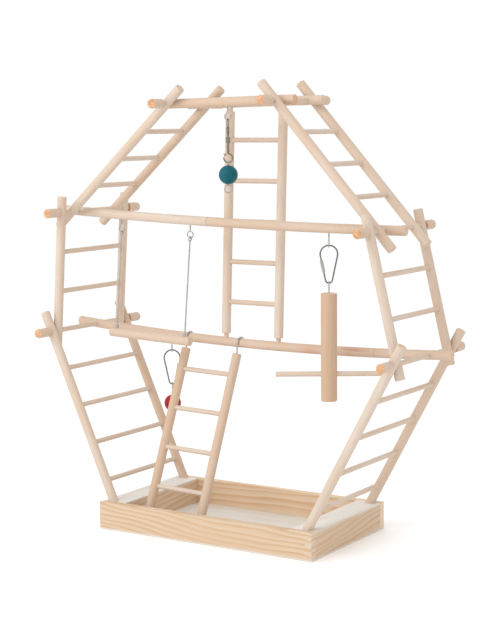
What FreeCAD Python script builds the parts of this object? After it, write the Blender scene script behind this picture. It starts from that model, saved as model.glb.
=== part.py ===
"""Parrot play stand: a tray that carries a hexagon of dowel ladders, cross bars, hung toys and a swing.

Frame: +X along the tray's width, +Y to the back, +Z up. The origin is the middle of the tray's
underside. All sizes are in millimetres.
"""
import FreeCAD, Part

import math
import os

import Sketcher

Vector = FreeCAD.Vector
Rotation = FreeCAD.Rotation
Placement = FreeCAD.Placement

X_AXIS = Vector(1, 0, 0)
Y_AXIS = Vector(0, 1, 0)
Z_AXIS = Vector(0, 0, 1)
LEFT = -1
RIGHT = 1
FRONT = -1
BACK = 1

# Driving dimensions: cell alias and value.
SIZES = {
    # tray
    "tray_width": 400.0,
    "tray_depth": 235.0,
    "tray_height": 45.0,
    "base_thickness": 3.0,
    "board_thickness": 12.0,
    "inner_board_thickness": 10.0,
    "ledge_thickness": 3.0,
    "ledge_width": 42.5,
    "finger_height": 6.0,
    # dowels
    "pole_diameter": 15.0,
    "bar_diameter": 15.0,
    "rung_diameter": 8.0,
    "rod_diameter": 8.0,
    "pin_diameter": 8.0,
    "fit_gap": 0.05,
    "edge_break": 0.8,
    # ladders of the hexagon
    "rung_pitch": 65.6,
    "lower_rungs": 4,
    "side_rungs": 2,
    "top_rungs": 3,
    "foot_reach": 183.5,
    "foot_to_rod": 298.5,
    "lower_pole_top": 34.0,
    "side_pole_bottom": 24.0,
    "side_pole_top": 26.0,
    "top_pole_end": 36.5,
    "lower_spacing": 202.0,
    "side_spacing": 171.0,
    "top_spacing": 118.0,
    "lower_rise_left": 65.9,
    "lower_rise_right": 61.5,
    "side_rise_left": 86.2,
    "side_rise_right": 76.5,
    "top_rise_left": 42.0,
    "top_rise_right": 47.8,
    # end caps of the cross rods
    "knob_diameter": 15.0,
    "knob_length": 28.0,
    "knob_bore_depth": 20.0,
    "knob_rounding": 1.2,
    "lower_knob_gap": 0.9,
    "upper_knob_gap": 2.4,
    "top_knob_gap": 6.0,
    # cross bars
    "lower_bar_offset": 24.0,
    "lower_bar_overhang": 38.0,
    "lower_bar_sag": 10.0,
    "upper_bar_offset": -35.0,
    "upper_bar_overhang": 35.0,
    "upper_bar_sag": 4.0,
    "top_bar_gap": 0.5,
    "top_bar_overhang": 27.5,
    # middle ladder
    "middle_center": 7.5,
    "middle_spacing": 100.0,
    "middle_rungs": 5,
    "middle_end_gap": 6.0,
    "middle_first_rung": 52.0,
    "pin_length": 28.0,
    "pin_in_bar": 10.0,
    # foot screws
    "foot_screw_diameter": 3.5,
    "foot_screw_reach": 13.0,
    "foot_screw_offset": 1.0,
    "foot_screw_head_diameter": 7.0,
    "foot_screw_head_height": 2.4,
    # screw eyes
    "eye_wire": 2.0,
    "eye_diameter": 13.0,
    "eye_drop": 15.5,
    "eye_thread": 9.0,
    "ring_gap": 0.3,
    # hanging ladder
    "hang_hook_left": -114.3,
    "hang_spacing": 100.0,
    "hang_rungs": 4,
    "hang_rung_pitch": 66.0,
    "hang_first_rung": 35.0,
    "hang_length": 299.0,
    "hang_lean": 21.4,
    "hang_drop": 16.0,
    "hook_wire": 2.5,
    "hook_inner_diameter": 18.0,
    "hook_depth": 14.0,
    "hook_opening": 30.0,
    # swing
    "swing_eye_left": -206.9,
    "swing_eye_right": -70.7,
    "swing_wire": 2.4,
    "swing_loop_wire": 2.0,
    "swing_loop_diameter": 9.2,
    "swing_drop": 172.7,
    "swing_sway": -14.0,
    "swing_overhang": 11.7,
    "swing_perch_diameter": 15.0,
    "swing_foot_diameter": 5.0,
    "swing_foot_height": 4.0,
    "swing_wire_cover": 1.0,
    # pear links
    "toy_turn": 32.0,
    "link_wire": 2.4,
    "link_length": 60.0,
    "link_width": 29.0,
    "link_foot_width": 13.0,
    "link_mouth": 5.0,
    "sleeve_diameter": 5.0,
    "sleeve_length": 18.0,
    "sleeve_middle": 33.0,
    # perch toy
    "stick_toy_place": 184.0,
    "stick_diameter": 25.0,
    "stick_length": 166.5,
    "stick_eye_shank": 6.0,
    "cross_perch_diameter": 8.0,
    "cross_perch_length": 164.0,
    "cross_perch_drop": 124.5,
    # bead toys
    "bead_bore": 2.6,
    "red_toy_place": -151.0,
    "red_bead_diameter": 28.0,
    "red_bead_drop": 29.3,
    "red_loop_diameter": 10.0,
    "teal_toy_place": 8.5,
    "teal_bead_diameter": 30.0,
    "teal_bead_drop": 19.0,
    "teal_hook_loop_diameter": 7.5,
    "teal_loop_diameter": 14.0,
    # swivel snap
    "swivel_wire": 1.6,
    "swivel_loop_width": 6.2,
    "swivel_loop_height": 14.7,
    "swivel_post_top": 5.0,
    "swivel_post_bottom": 3.6,
    "swivel_post_length": 15.0,
    "swivel_neck_diameter": 2.4,
    "swivel_head_diameter": 4.6,
    "swivel_head_height": 2.6,
    "barrel_diameter": 7.0,
    "barrel_height": 9.0,
    "barrel_wall": 2.6,
    "snap_shaft_diameter": 4.0,
    "snap_shaft_length": 18.0,
    "snap_shaft_overlap": 0.9,
    "snap_hook_wire": 2.5,
    "snap_hook_diameter": 16.0,
    "snap_mouth_end": 170.0,
    "gate_wire": 1.8,
    "gate_start": 110.0,
    "gate_tip_gap": 12.0,
    "gate_stud_length": 3.5,
}

document = FreeCAD.newDocument("parrot_play_stand")
sheet = document.addObject("Spreadsheet::Sheet", "sizes")
for row, (alias, size) in enumerate(SIZES.items(), start=1):
    cell = "B%d" % row
    sheet.set("A%d" % row, alias)
    sheet.set(cell, str(size))
    sheet.setAlias(cell, alias)
document.recompute()

subparts = []


# ---------------------------------------------------------------- helpers

def size(alias):
    """The value of one driving dimension."""
    return float(sheet.get(alias))


def bind(feature, **rules):
    """Tie properties of a feature to expressions of the size sheet."""
    for name, rule in rules.items():
        feature.setExpression(name, rule)
    return feature


def finish(shape_object, label, placement=None):
    """Name a finished sub-part, place it and keep it for export."""
    shape_object.Label = label
    if placement is not None:
        shape_object.Placement = placement
    subparts.append(shape_object)
    return shape_object


def turn_to(direction):
    """Rotation that takes +Z onto a direction."""
    return Rotation(Z_AXIS, direction)


def frame_of(point, along_x, along_z):
    """Placement with its origin at a point and its axes given by two directions."""
    return Placement(point, Rotation(along_x, Vector(), along_z, "ZXY"))


def plane_of(body, role):
    """One of a body's own origin planes."""
    return [part for part in body.Origin.OriginFeatures if part.Role == role][0]


def sketch_on(body, role, name):
    """An empty sketch on one of the body's origin planes."""
    sketch = body.newObject("Sketcher::SketchObject", name)
    sketch.AttachmentSupport = [(plane_of(body, role), "")]
    sketch.MapMode = "FlatFace"
    return sketch


def add_rule(sketch, constraint, rule):
    """Add a dimension to a sketch and tie it to an expression."""
    index = sketch.addConstraint(constraint)
    sketch.setExpression("Constraints[%d]" % index, rule)


def circle_sketch(body, role, name, diameter_rule, height_rule=None):
    """A circle on the sketch's own vertical axis, at a height if one is given."""
    sketch = sketch_on(body, role, name)
    start = Vector(0, 10 if height_rule else 0, 0)
    sketch.addGeometry(Part.Circle(start, Z_AXIS, 5), False)
    if height_rule:
        sketch.addConstraint(Sketcher.Constraint("PointOnObject", 0, 3, -2))
        add_rule(sketch, Sketcher.Constraint("DistanceY", -1, 1, 0, 3, 10), height_rule)
    else:
        sketch.addConstraint(Sketcher.Constraint("Coincident", 0, 3, -1, 1))
    add_rule(sketch, Sketcher.Constraint("Diameter", 0, 10), diameter_rule)
    return sketch


def rectangle_sketch(body, role, name, left_rule, bottom_rule, width_rule, height_rule):
    """A rectangle given by its lower left corner and its width and height."""
    sketch = sketch_on(body, role, name)
    corners = [Vector(1, 1, 0), Vector(9, 1, 0), Vector(9, 6, 0), Vector(1, 6, 0)]
    for index in range(4):
        sketch.addGeometry(Part.LineSegment(corners[index], corners[(index + 1) % 4]), False)
    for index in range(4):
        sketch.addConstraint(Sketcher.Constraint("Coincident", index, 2, (index + 1) % 4, 1))
    sketch.addConstraint(Sketcher.Constraint("Horizontal", 0))
    sketch.addConstraint(Sketcher.Constraint("Horizontal", 2))
    sketch.addConstraint(Sketcher.Constraint("Vertical", 1))
    sketch.addConstraint(Sketcher.Constraint("Vertical", 3))
    add_rule(sketch, Sketcher.Constraint("DistanceX", -1, 1, 0, 1, 1), left_rule)
    add_rule(sketch, Sketcher.Constraint("DistanceY", -1, 1, 0, 1, 1), bottom_rule)
    add_rule(sketch, Sketcher.Constraint("DistanceX", 0, 1, 0, 2, 8), width_rule)
    add_rule(sketch, Sketcher.Constraint("DistanceY", 1, 1, 1, 2, 5), height_rule)
    return sketch


def pad_of(body, name, sketch, length_rule):
    """Pad a sketch by a length from the size sheet."""
    pad = body.newObject("PartDesign::Pad", name)
    pad.Profile = sketch
    bind(pad, Length=length_rule)
    document.recompute()
    return pad


def pocket_through(body, name, sketch, side="Symmetric"):
    """Cut a sketch through the whole body, to both sides or from its plane to one side."""
    pocket = body.newObject("PartDesign::Pocket", name)
    pocket.Profile = sketch
    pocket.Type = "ThroughAll"
    pocket.SideType = side
    document.recompute()
    return pocket


def row_of(body, name, feature, sketch, count_rule, spacing_rule):
    """Repeat a feature upward along the sketch's vertical axis."""
    row_feature = body.newObject("PartDesign::LinearPattern", name)
    row_feature.Originals = [feature]
    row_feature.Direction = (sketch, ["V_Axis"])
    row_feature.Mode = "Spacing"
    bind(row_feature, Offset=spacing_rule, Occurrences=count_rule)
    body.Tip = row_feature
    document.recompute()
    return row_feature


def dowel(name, diameter_rule, length_rule):
    """A round dowel along +Z from its own origin, with both ends broken."""
    body = document.addObject("PartDesign::Body", name)
    pad = pad_of(body, name + "_pad", circle_sketch(body, "XY_Plane", name + "_round", diameter_rule),
                 length_rule)
    rims = ["Edge%d" % (index + 1) for index, edge in enumerate(pad.Shape.Edges)
            if isinstance(edge.Curve, Part.Circle)]
    chamfer = body.newObject("PartDesign::Chamfer", name + "_ends")
    chamfer.Base = (pad, rims)
    bind(chamfer, Size="sizes.edge_break")
    document.recompute()
    return body


def cross_hole(body, name, diameter_rule, height_rule, side="Symmetric"):
    """A hole across a dowel, along the body's Y axis: right through or from the axis to one side."""
    sketch = circle_sketch(body, "XZ_Plane", name + "_round", diameter_rule, height_rule)
    return pocket_through(body, name, sketch, side), sketch


def peg(name, diameter_rule, length_rule, placement=None):
    """A plain round peg along +Z, used for rungs, rods and pins."""
    cylinder = document.addObject("Part::Cylinder", name)
    bind(cylinder, Radius=diameter_rule + " / 2", Height=length_rule)
    if placement is not None:
        cylinder.Placement = placement
    return cylinder


def group(label, members, placement=None):
    """Several separate solids that are one node."""
    compound = document.addObject("Part::Compound", label)
    compound.Links = members
    return finish(compound, label, placement)


def cut(name, base, tools):
    """Take one or more shapes away from another."""
    tool = tools[0]
    if len(tools) > 1:
        tool = document.addObject("Part::MultiFuse", name + "_cutters")
        tool.Shapes = tools
    result = document.addObject("Part::Cut", name)
    result.Base = base
    result.Tool = tool
    return result


def fuse(name, members):
    """Join shapes that are made as one piece."""
    result = document.addObject("Part::MultiFuse", name)
    result.Shapes = members
    return result


def centred_peg(name, diameter_rule, length_rule, middle, direction):
    """A peg given by its middle point and direction."""
    piece = peg(name, diameter_rule, length_rule)
    document.recompute()
    half = float(piece.Height) / 2
    unit = Vector(direction).normalize()
    piece.Placement = Placement(middle - unit * half, turn_to(unit))
    return piece


def ring(name, outer_diameter_rule, wire_rule, centre, axis):
    """A closed round ring of wire, given by its outer diameter."""
    torus = document.addObject("Part::Torus", name)
    bind(torus, Radius1="(%s - %s) / 2" % (outer_diameter_rule, wire_rule), Radius2=wire_rule + " / 2")
    torus.Placement = Placement(centre, turn_to(axis))
    return torus


def wire_form(name, edges, diameter):
    """A round wire bent along a path of lines and arcs."""
    path = Part.Wire(edges)
    start = path.OrderedEdges[0]
    tangent = start.tangentAt(start.FirstParameter)
    profile = Part.Wire([Part.makeCircle(diameter / 2, start.valueAt(start.FirstParameter), tangent)])
    feature = document.addObject("Part::Feature", name)
    feature.Shape = path.makePipeShell([profile], True, False)
    return feature


def arc_edge(centre, radius, start_angle, middle_angle, end_angle, across, up):
    """An arc through three angles, in the plane of two directions."""
    points = []
    for angle in (start_angle, middle_angle, end_angle):
        turn = math.radians(angle)
        points.append(centre + across * (radius * math.cos(turn)) + up * (radius * math.sin(turn)))
    return Part.Arc(*points).toShape()


def line_edge(start, end):
    """A straight edge between two points."""
    return Part.LineSegment(start, end).toShape()


# ---------------------------------------------------------------- points of the hexagon

def along(point, angle, length):
    """A point reached from another at an angle above +X in the XZ plane."""
    turn = math.radians(angle)
    return point + Vector(length * math.cos(turn), 0, length * math.sin(turn))


RISE = {
    ("lower", LEFT): 180 - size("lower_rise_left"),
    ("lower", RIGHT): size("lower_rise_right"),
    ("side", LEFT): size("side_rise_left"),
    ("side", RIGHT): 180 - size("side_rise_right"),
    ("top", LEFT): size("top_rise_left"),
    ("top", RIGHT): 180 - size("top_rise_right"),
}
SIDE_NAME = {LEFT: "left", RIGHT: "right"}
END_NAME = {FRONT: "front", BACK: "back"}

side_length = (size("side_rungs") + 1) * size("rung_pitch")
top_length = (size("top_rungs") + 1) * size("rung_pitch")
foot_point = {}
lower_rod_point = {}
upper_rod_point = {}
top_rod_point = {}
for hand in (LEFT, RIGHT):
    foot_point[hand] = Vector(hand * size("foot_reach"), 0, size("tray_height"))
    lower_rod_point[hand] = along(foot_point[hand], RISE["lower", hand], size("foot_to_rod"))
    upper_rod_point[hand] = along(lower_rod_point[hand], RISE["side", hand], side_length)
    top_rod_point[hand] = along(upper_rod_point[hand], RISE["top", hand], top_length)


# ---------------------------------------------------------------- tray

def tray_base():
    """Thin floor plate under the whole tray."""
    plate = document.addObject("Part::Box", "base_plate")
    bind(plate, Length="sizes.tray_width", Width="sizes.tray_depth", Height="sizes.base_thickness")
    finish(plate, "tray_base", Placement(Vector(-size("tray_width") / 2, -size("tray_depth") / 2, 0),
                                         Rotation()))


BOARD_HEIGHT = "(sizes.tray_height - sizes.base_thickness)"
INNER_DEPTH = "(sizes.tray_depth - 2 * sizes.board_thickness)"


def long_board(label, depth_side, fingers):
    """Front or back board, over the full width; the front one has slots at its right end."""
    body = document.addObject("PartDesign::Body", label)
    face = rectangle_sketch(body, "XZ_Plane", label + "_face", "-sizes.tray_width / 2",
                            "sizes.base_thickness", "sizes.tray_width", BOARD_HEIGHT)
    pad_of(body, label + "_pad", face, "sizes.board_thickness")
    if fingers:
        slot = rectangle_sketch(body, "XZ_Plane", label + "_slot",
                                "sizes.tray_width / 2 - sizes.board_thickness",
                                "sizes.base_thickness + sizes.finger_height",
                                "sizes.board_thickness", "sizes.finger_height")
        pocket = pocket_through(body, label + "_slot_cut", slot)
        row_of(body, label + "_slots", pocket, slot,
               "floor(%s / sizes.finger_height / 2)" % BOARD_HEIGHT, "2 * sizes.finger_height")
    outer = size("tray_depth") / 2
    shift = -outer + size("board_thickness") if depth_side == FRONT else outer
    finish(body, label, Placement(Vector(0, shift, 0), Rotation()))


def end_board(label, hand, fingers):
    """End board between the long boards, under the ledge; the right one has fingers at its front."""
    body = document.addObject("PartDesign::Body", label)
    face = rectangle_sketch(body, "YZ_Plane", label + "_face", "-%s / 2" % INNER_DEPTH,
                            "sizes.base_thickness", INNER_DEPTH,
                            BOARD_HEIGHT + " - sizes.ledge_thickness")
    pad_of(body, label + "_pad", face, "sizes.board_thickness")
    if fingers:
        finger = rectangle_sketch(body, "YZ_Plane", label + "_finger", "-sizes.tray_depth / 2",
                                  "sizes.base_thickness + sizes.finger_height",
                                  "sizes.board_thickness", "sizes.finger_height")
        pad = pad_of(body, label + "_finger_pad", finger, "sizes.board_thickness")
        row_of(body, label + "_fingers", pad, finger,
               "floor(%s / sizes.finger_height / 2)" % BOARD_HEIGHT, "2 * sizes.finger_height")
    outer = size("tray_width") / 2
    shift = -outer if hand == LEFT else outer - size("board_thickness")
    finish(body, label, Placement(Vector(shift, 0, 0), Rotation()))


def inner_board(label, hand):
    """Board that carries the inner edge of a ledge."""
    body = document.addObject("PartDesign::Body", label)
    face = rectangle_sketch(body, "YZ_Plane", label + "_face", "-%s / 2" % INNER_DEPTH,
                            "sizes.base_thickness", INNER_DEPTH,
                            BOARD_HEIGHT + " - sizes.ledge_thickness")
    pad_of(body, label + "_pad", face, "sizes.inner_board_thickness")
    edge = size("tray_width") / 2 - size("ledge_width")
    shift = -edge - size("inner_board_thickness") if hand == LEFT else edge
    finish(body, label, Placement(Vector(shift, 0, 0), Rotation()))


def foot_screw_point(hand, depth_side):
    """Where the vertical screw under a pole's foot passes the ledge's top."""
    across = foot_point[hand].x + hand * size("foot_screw_offset")
    return Vector(across, depth_side * size("lower_spacing") / 2, size("tray_height"))


def ledge(label, hand):
    """Thin shelf at one end of the tray, flush with the long boards, that the poles stand on."""
    body = document.addObject("PartDesign::Body", label)
    outline = rectangle_sketch(body, "XY_Plane", label + "_outline", "-sizes.ledge_width / 2",
                               "-%s / 2" % INNER_DEPTH, "sizes.ledge_width", INNER_DEPTH)
    pad_of(body, label + "_pad", outline, "sizes.ledge_thickness")
    middle = size("tray_width") / 2 - size("ledge_width") / 2
    across = abs(foot_screw_point(hand, FRONT).x) - middle
    holes = sketch_on(body, "XY_Plane", label + "_holes")
    for index, depth_side in enumerate((FRONT, BACK)):
        holes.addGeometry(Part.Circle(Vector(hand * across, depth_side * 50, 0), Z_AXIS, 1.8), False)
        holes.addConstraint(Sketcher.Constraint("DistanceX", -1, 1, index, 3, hand * across))
        add_rule(holes, Sketcher.Constraint("DistanceY", -1, 1, index, 3, depth_side * 50),
                 "%d * sizes.lower_spacing / 2" % depth_side)
        add_rule(holes, Sketcher.Constraint("Diameter", index, 3.6),
                 "sizes.foot_screw_diameter + 2 * sizes.fit_gap")
    pocket_through(body, label + "_hole_cut", holes)
    finish(body, label, Placement(Vector(hand * middle, 0, size("tray_height") - size("ledge_thickness")),
                                  Rotation()))


def foot_screws():
    """Wood screws up through the ledges into the feet of the lower poles."""
    members = []
    for hand in (LEFT, RIGHT):
        for depth_side in (FRONT, BACK):
            name = "foot_screw_%s_%s" % (SIDE_NAME[hand], END_NAME[depth_side])
            top = foot_screw_point(hand, depth_side)
            under = top - Z_AXIS * size("ledge_thickness")
            shank = peg(name + "_shank", "sizes.foot_screw_diameter",
                        "sizes.foot_screw_reach + sizes.ledge_thickness", Placement(under, Rotation()))
            head = peg(name + "_head", "sizes.foot_screw_head_diameter", "sizes.foot_screw_head_height",
                       Placement(under - Z_AXIS * size("foot_screw_head_height"), Rotation()))
            members.append(fuse(name, [shank, head]))
    group("foot_screws", members)


# ---------------------------------------------------------------- ladders of the hexagon

HOLE_FOR_ROD = "sizes.rod_diameter + 2 * sizes.fit_gap"
HOLE_FOR_RUNG = "sizes.rung_diameter + 2 * sizes.fit_gap"


def pole(name, length_rule, rod_rules, first_rung_rule, count_rule, pitch_rule):
    """A ladder pole: through holes for cross rods and a row of blind sockets for rungs on one side."""
    body = dowel(name, "sizes.pole_diameter", length_rule)
    for index, rod_rule in enumerate(rod_rules):
        cross_hole(body, "%s_rod_hole_%d" % (name, index + 1), HOLE_FOR_ROD, rod_rule)
    socket, sketch = cross_hole(body, name + "_socket", HOLE_FOR_RUNG, first_rung_rule, "One side")
    row_of(body, name + "_sockets", socket, sketch, count_rule, pitch_rule)
    return body


def ladder_frame(point, hand, level, offset):
    """Frame of a hexagon ladder: +Z up along its poles, +Y to the back, origin at the pole's lower end."""
    turn = math.radians(RISE[level, hand])
    up = Vector(math.cos(turn), 0, math.sin(turn))
    return frame_of(point - up * offset, Y_AXIS.cross(up), up)


def rung_set(label, spacing_rule, first, pitch, count, frame, diameter_rule="sizes.rung_diameter"):
    """The rungs of one ladder, each reaching the middle of both poles."""
    members = []
    for index in range(int(count)):
        rung = centred_peg("%s_%d" % (label, index + 1), diameter_rule,
                           spacing_rule + " - 2 * sizes.fit_gap", Vector(0, 0, first + index * pitch),
                           Y_AXIS)
        members.append(rung)
    group(label, members, frame)


def hexagon_ladder(level, hand, start, offset_alias, spacing_alias, length_rule, rods, first_rule, first,
                   trim_foot=False):
    """Two poles and their rungs, set in the frame of one side of the hexagon."""
    stem = "%s_%s" % (level, SIDE_NAME[hand])
    offset = size(offset_alias) if offset_alias else size("pole_diameter")
    frame = ladder_frame(start, hand, level, offset)
    half = size(spacing_alias) / 2
    for depth_side in (FRONT, BACK):
        label = "%s_%s_pole" % (stem, END_NAME[depth_side])
        body = pole(label + "_dowel", length_rule, rods, first_rule, "sizes.%s_rungs" % level,
                    "sizes.rung_pitch")
        half_turn = Rotation(Z_AXIS, 180) if depth_side == BACK else Rotation()
        placement = frame * Placement(Vector(0, depth_side * half, 0), half_turn)
        if trim_foot:
            body.Placement = placement
            trimmed = trim_at_ledge(label, body, hand, depth_side)
            finish(trimmed, label)
        else:
            finish(body, label, placement)
    rung_set(stem + "_rungs", "sizes." + spacing_alias, first, size("rung_pitch"),
             size(level + "_rungs"), frame)


def trim_at_ledge(label, body, hand, depth_side):
    """Cut a pole's foot flat on the ledge and bore it for its screw."""
    below = document.addObject("Part::Box", label + "_below")
    bind(below, Length="6 * sizes.pole_diameter", Width="6 * sizes.pole_diameter",
         Height="3 * sizes.pole_diameter")
    foot = foot_point[hand] + Y_AXIS * (depth_side * size("lower_spacing") / 2)
    reach = 3 * size("pole_diameter")
    below.Placement = Placement(foot - Vector(reach, reach, reach), Rotation())
    bore = peg(label + "_bore", "(sizes.foot_screw_diameter + 2 * sizes.fit_gap)",
               "2 * sizes.foot_screw_reach + sizes.edge_break",
               Placement(foot_screw_point(hand, depth_side) - Z_AXIS * size("foot_screw_reach"), Rotation()))
    return cut(label, body, [below, bore])


def hexagon():
    """The six ladders."""
    for hand in (LEFT, RIGHT):
        lower_first = size("pole_diameter") + size("foot_to_rod") - size("lower_rungs") * size("rung_pitch")
        hexagon_ladder("lower", hand, foot_point[hand], None, "lower_spacing",
                       "sizes.pole_diameter + sizes.foot_to_rod + sizes.lower_pole_top",
                       ["sizes.pole_diameter + sizes.foot_to_rod"],
                       "sizes.pole_diameter + sizes.foot_to_rod - sizes.lower_rungs * sizes.rung_pitch",
                       lower_first, trim_foot=True)
        hexagon_ladder("side", hand, lower_rod_point[hand], "side_pole_bottom", "side_spacing",
                       "sizes.side_pole_bottom + (sizes.side_rungs + 1) * sizes.rung_pitch"
                       " + sizes.side_pole_top",
                       ["sizes.side_pole_bottom",
                        "sizes.side_pole_bottom + (sizes.side_rungs + 1) * sizes.rung_pitch"],
                       "sizes.side_pole_bottom + sizes.rung_pitch",
                       size("side_pole_bottom") + size("rung_pitch"))
        hexagon_ladder("top", hand, upper_rod_point[hand], "top_pole_end", "top_spacing",
                       "2 * sizes.top_pole_end + (sizes.top_rungs + 1) * sizes.rung_pitch",
                       ["sizes.top_pole_end",
                        "sizes.top_pole_end + (sizes.top_rungs + 1) * sizes.rung_pitch"],
                       "sizes.top_pole_end + sizes.rung_pitch",
                       size("top_pole_end") + size("rung_pitch"))


# ---------------------------------------------------------------- cross rods and their end caps

LEVELS = {
    "lower": (lower_rod_point, "lower_spacing", "lower_knob_gap"),
    "upper": (upper_rod_point, "side_spacing", "upper_knob_gap"),
    "top": (top_rod_point, "top_spacing", "top_knob_gap"),
}


def cross_rods():
    """Two rods at each level of the hexagon; each passes both ladders that meet there."""
    members = []
    for level, (points, spacing, gap) in LEVELS.items():
        length = ("sizes.%s + sizes.pole_diameter + 2 * sizes.%s + 2 * sizes.knob_bore_depth"
                  " - 2 * sizes.fit_gap" % (spacing, gap))
        for hand in (LEFT, RIGHT):
            members.append(centred_peg("%s_rod_%s" % (level, SIDE_NAME[hand]), "sizes.rod_diameter",
                                       length, points[hand], Y_AXIS))
    group("cross_rods", members)


def knob(name, placement):
    """An end cap: a short dowel with a blind bore in its inner end and a rounded outer rim."""
    solid = peg(name + "_dowel", "sizes.knob_diameter", "sizes.knob_length")
    bore = peg(name + "_bore", "(%s)" % HOLE_FOR_ROD, "sizes.knob_bore_depth")
    capped = cut(name + "_bored", solid, [bore])
    document.recompute()
    rims = []
    for index, edge in enumerate(capped.Shape.Edges):
        is_outer = isinstance(edge.Curve, Part.Circle) and edge.Curve.Radius > size("rod_diameter") / 2 + 1
        if is_outer:
            rims.append((index + 1, size("knob_rounding"), size("knob_rounding")))
    rounded = document.addObject("Part::Fillet", name)
    rounded.Base = capped
    rounded.Edges = rims
    rounded.Placement = placement
    return rounded


def rod_knobs():
    """The twelve caps on the ends of the six rods."""
    members = []
    for level, (points, spacing, gap) in LEVELS.items():
        inner = size(spacing) / 2 + size("pole_diameter") / 2 + size(gap)
        for hand in (LEFT, RIGHT):
            for depth_side in (FRONT, BACK):
                name = "%s_knob_%s_%s" % (level, SIDE_NAME[hand], END_NAME[depth_side])
                place = points[hand] + Y_AXIS * (depth_side * inner)
                members.append(knob(name, Placement(place, turn_to(Y_AXIS * depth_side))))
    group("rod_knobs", members)


# ---------------------------------------------------------------- cross bars

class Bar:
    """A round bar between two rods; a sagging one is bent to one large arc."""

    def __init__(self, start, end, offset, sag, overhang):
        self.start = start + Y_AXIS * offset
        self.end = end + Y_AXIS * offset
        self.sag = sag
        self.overhang = overhang
        self.chord = (self.end - self.start).Length
        self.direction = (self.end - self.start) * (1 / self.chord)
        self.upward = self.direction.cross(Y_AXIS)
        self.middle = (self.start + self.end) * 0.5
        if sag:
            self.radius = self.chord ** 2 / (8 * sag) + sag / 2
            self.centre = self.middle + self.upward * (self.radius - sag)

    def at(self, x):
        """Centre of the bar at a place along the tray's width."""
        flat = self.start + self.direction * ((x - self.start.x) / self.direction.x)
        if not self.sag:
            return flat
        drop = math.sqrt(self.radius ** 2 - (x - self.centre.x) ** 2)
        return Vector(x, self.start.y, self.centre.z - drop)

    def solid(self, name):
        """The bar before its holes are bored."""
        if not self.sag:
            piece = dowel(name, "sizes.bar_diameter", "%.6f + 2 * %.6f" % (self.chord, self.overhang))
            piece.Placement = Placement(self.start - self.direction * self.overhang,
                                        turn_to(self.direction))
            return piece
        half = math.degrees(math.asin(self.chord / 2 / self.radius))
        extra = math.degrees(self.overhang / self.radius)
        torus = document.addObject("Part::Torus", name)
        torus.Radius1 = self.radius
        bind(torus, Radius2="sizes.bar_diameter / 2")
        torus.Angle3 = 2 * (half + extra)
        frame = Placement(self.centre, Rotation(self.direction, self.upward, Vector(), "XYZ"))
        first = Placement(Vector(), Rotation(Z_AXIS, 270 - half - extra))
        torus.Placement = frame * first
        return torus

    def ends(self):
        """Middle of each end face of a bent bar, with the direction that it looks in."""
        half = math.asin(self.chord / 2 / self.radius) + self.overhang / self.radius
        places = []
        for hand in (LEFT, RIGHT):
            spoke = self.direction * (hand * math.sin(half)) - self.upward * math.cos(half)
            outward = self.direction * (hand * math.cos(half)) + self.upward * math.sin(half)
            places.append((self.centre + spoke * self.radius, outward))
        return places


def rim_cutter(name, point, outward):
    """A ring with a conical inside that takes the sharp rim off a bar's end."""
    place = Placement(point - outward * (1.25 * size("edge_break")), turn_to(outward))
    ring_blank = peg(name + "_ring", "(sizes.bar_diameter + 5 * sizes.edge_break)", "2.5 * sizes.edge_break",
                     place)
    core = document.addObject("Part::Cone", name + "_core")
    bind(core, Radius1="sizes.bar_diameter / 2 + 0.25 * sizes.edge_break", Height="2.5 * sizes.edge_break",
         Radius2="sizes.bar_diameter / 2 - 2.25 * sizes.edge_break")
    core.Placement = place
    return cut(name, ring_blank, [core])


lower_bar = Bar(lower_rod_point[LEFT], lower_rod_point[RIGHT], size("lower_bar_offset"),
                size("lower_bar_sag"), size("lower_bar_overhang"))
upper_bar = Bar(upper_rod_point[LEFT], upper_rod_point[RIGHT], size("upper_bar_offset"),
                size("upper_bar_sag"), size("upper_bar_overhang"))
top_bar_offset = (size("top_spacing") - size("pole_diameter") - size("bar_diameter")) / 2 - size("top_bar_gap")
top_front_bar = Bar(top_rod_point[LEFT], top_rod_point[RIGHT], -top_bar_offset, 0, size("top_bar_overhang"))
top_back_bar = Bar(top_rod_point[LEFT], top_rod_point[RIGHT], top_bar_offset, 0, size("top_bar_overhang"))


def rod_bore(name, point):
    """A hole across a bar for a cross rod."""
    return centred_peg(name, "(%s)" % HOLE_FOR_ROD, "2 * sizes.bar_diameter", point, Y_AXIS)


def eye_bore(name, bar, x):
    """A blind hole from below for the thread of a screw eye."""
    bottom = bar.at(x) - Z_AXIS * size("bar_diameter") / 2
    return peg(name, "(sizes.eye_wire + 2 * sizes.fit_gap)", "(sizes.bar_diameter / 2 + sizes.eye_thread)",
               Placement(bottom - Z_AXIS * size("bar_diameter") / 2, Rotation()))


def bored_bar(label, bar, tools):
    """A bar with its rod holes and any other holes."""
    tools = tools + [rod_bore(label + "_bore_left", bar.start), rod_bore(label + "_bore_right", bar.end)]
    if bar.sag:
        for number, (point, outward) in enumerate(bar.ends()):
            tools.append(rim_cutter("%s_rim_%d" % (label, number + 1), point, outward))
    finish(cut(label, bar.solid(label + "_blank"), tools), label)


# ---------------------------------------------------------------- middle ladder

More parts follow.
